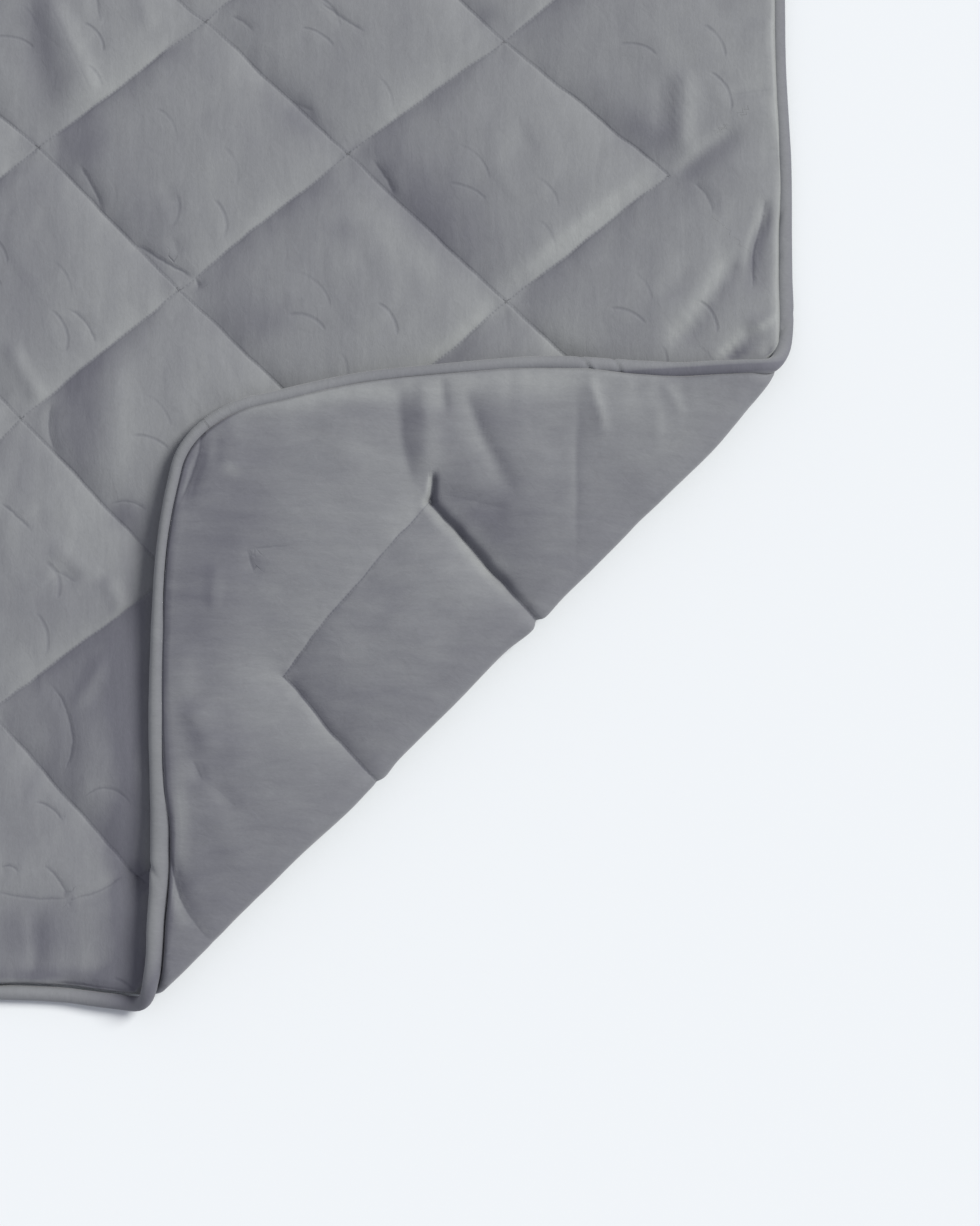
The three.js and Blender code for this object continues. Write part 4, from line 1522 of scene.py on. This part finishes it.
def cloth_material(name):
    material, shader = new_material(name)
    shader.inputs["Sheen Weight"].default_value = SHEEN
    shader.inputs["Sheen Roughness"].default_value = SHEEN_ROUGHNESS
    shader.inputs["Specular IOR Level"].default_value = SPECULAR
    return material, Nodes(material.node_tree), shader


def finish_cloth(nodes, shader, colour, pile, height):
    shade = nodes.math("ADD", nodes.math("MULTIPLY", pile["Tone"], PILE_SHADING), 1.0)
    tinted = nodes.vector("SCALE", colour)
    nodes.feed(tinted.node.inputs["Scale"], shade)
    nodes.feed(shader.inputs["Base Color"], tinted)
    roughness = nodes.math("MULTIPLY_ADD", pile["Tone"], PILE_ROUGHNESS, ROUGHNESS)
    nodes.feed(shader.inputs["Roughness"], roughness)
    bump = nodes.add("Bump")
    bump.inputs["Distance"].default_value = 1.0
    nodes.feed(bump.inputs["Height"], height)
    nodes.feed(shader.inputs["Normal"], bump.outputs[0])


def duvet_plush(groups):
    material, nodes, shader = cloth_material("plush")
    cloth = nodes.attribute("cloth")
    line, along, _ = nodes.split(nodes.attribute("sewing"))
    spray = nodes.attribute("spray")
    pile = nodes.use(groups["pile"], Place=cloth, Strokes=1.0)
    gap, crisp, darkness = nodes.split(nodes.attribute("crease"))
    back = nodes.split(cloth)[2]
    ragged = nodes.ramp(back, 0, 1, FACE_FRAY, BACK_FRAY)
    nap = nodes.use(groups["nap"], Place=cloth, Darkness=darkness, Raggedness=ragged)
    crease = nodes.use(groups["crease"], Gap=gap, Strength=crisp, Place=cloth)
    sewn = nodes.use(groups["sewn"], Distance=line, Along=along)
    strength = nodes.ramp(back, 0, 1, FACE_STITCHES, BACK_STITCHES)
    stitches_and_shade = nodes.math("MULTIPLY", sewn["Mask"], strength, clamp=True)
    flat_spray = nodes.vector("MULTIPLY", spray, (1, 1, 0))
    leaves = nodes.use(groups["leaves"], Place=flat_spray, Strength=nodes.split(spray)[2])
    # The nap's tone, with its painted shade, shadows and highlights.
    colour = nodes.mix_colour(nap["Mask"], LIGHT_NAP_AND_HIGHLIGHT, DARK_NAP_AND_SHADE)
    for mask, shade in ((leaves["Line"], LEAF_SHADE), (stitches_and_shade, SEWN_LINE_AND_SHADE),
                        (crease["Line"], CREASE_PAINTED_SHADE)):
        colour = nodes.mix_colour(mask, colour, shade, "MULTIPLY")
    height = pile["Height"]
    for group in (sewn, crease, leaves):
        height = nodes.math("ADD", height, group["Height"])
    finish_cloth(nodes, shader, colour, pile, height)
    return material


def edge_plush(groups):
    material, nodes, shader = cloth_material("piping plush")
    cloth = nodes.attribute("cloth")
    pile = nodes.use(groups["pile"], Place=cloth, Strokes=PIPING_STROKES)
    darkness = nodes.split(nodes.attribute("crease"))[2]
    nap = nodes.use(groups["nap"], Place=cloth, Darkness=darkness, Raggedness=PIPING_FRAY)
    # The piping's nap, with its painted shade and its painted light against the lamp.
    colour = nodes.mix_colour(nap["Mask"], LIGHT_NAP_AND_HIGHLIGHT, DARK_NAP_AND_SHADE)
    finish_cloth(nodes, shader, colour, pile, pile["Height"])
    return material


def floor_finish():
    material, shader = new_material("pale floor")
    shader.inputs["Base Color"].default_value = FLOOR_COLOUR
    shader.inputs["Roughness"].default_value = FLOOR_ROUGHNESS
    return material


# ------------------------------------------------------------------ The studio

VIEW_MIDDLE = (502.3, -741.6)
VIEW_HEIGHT = 809.2  # of the duvet, seen from top to bottom of the picture
CAMERA_HEIGHT = 2600  # over the layer's middle
SENSOR = 36

FLOOR_HALF, FLOOR_LEVEL = 20, -0.0002  # in metres
LIGHT_AZIMUTH, LIGHT_ELEVATION, LIGHT_SPREAD = 30, 42, 24  # in degrees
LIGHT_STRENGTH, LIGHT_COLOUR = 3.3, (1.0, 0.98, 0.935)
SKY_STRENGTH, SKY_COLOUR = 0.5, (0.9, 0.9, 1, 1)


def make_camera():
    data = bpy.data.cameras.new("camera")
    data.sensor_width = SENSOR
    data.lens = SENSOR * CAMERA_HEIGHT / VIEW_HEIGHT
    data.clip_end = 100
    camera = add_object("camera", data)
    camera.location = (VIEW_MIDDLE[0] * MM, VIEW_MIDDLE[1] * MM, (CAMERA_HEIGHT + MIDDLE) * MM)
    bpy.context.scene.camera = camera


def make_floor():
    mesh = bpy.data.meshes.new("floor")
    corners = [(x * FLOOR_HALF, y * FLOOR_HALF, FLOOR_LEVEL)
               for x, y in ((-1, -1), (1, -1), (1, 1), (-1, 1))]
    mesh.from_pydata(corners, [], [(0, 1, 2, 3)])
    mesh.materials.append(floor_finish())
    add_object("floor", mesh)


def make_light():
    data = bpy.data.lights.new("key light", "SUN")
    data.energy = LIGHT_STRENGTH
    data.angle = math.radians(LIGHT_SPREAD)
    data.color = LIGHT_COLOUR
    light = add_object("key light", data)
    azimuth, elevation = math.radians(LIGHT_AZIMUTH), math.radians(LIGHT_ELEVATION)
    towards = Vector((math.cos(azimuth) * math.cos(elevation),
                      math.sin(azimuth) * math.cos(elevation), math.sin(elevation)))
    light.rotation_euler = towards.to_track_quat("Z", "Y").to_euler()
    light.location = towards * 3


def make_studio():
    make_camera()
    make_floor()
    make_light()
    world = bpy.data.worlds.new("soft daylight")
    bpy.context.scene.world = world
    world.use_nodes = True
    sky = world.node_tree.nodes["Background"]
    sky.inputs["Color"].default_value = SKY_COLOUR
    sky.inputs["Strength"].default_value = SKY_STRENGTH
    bpy.context.scene.view_settings.view_transform = "Standard"


# ------------------------------------------------------------------ The whole scene

finishes = {"pile": brushed_pile(), "nap": nap_marks(), "sewn": sewn_line(),
            "crease": sharp_crease(), "leaves": pressed_leaves()}
duvet = make_duvet()
duvet.data.materials.append(duvet_plush(finishes))
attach(duvet, "root")
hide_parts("duvet")

piping = make_piping()
piping.data.materials.append(edge_plush(finishes))
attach(piping, "root")
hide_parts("piping")

make_studio()
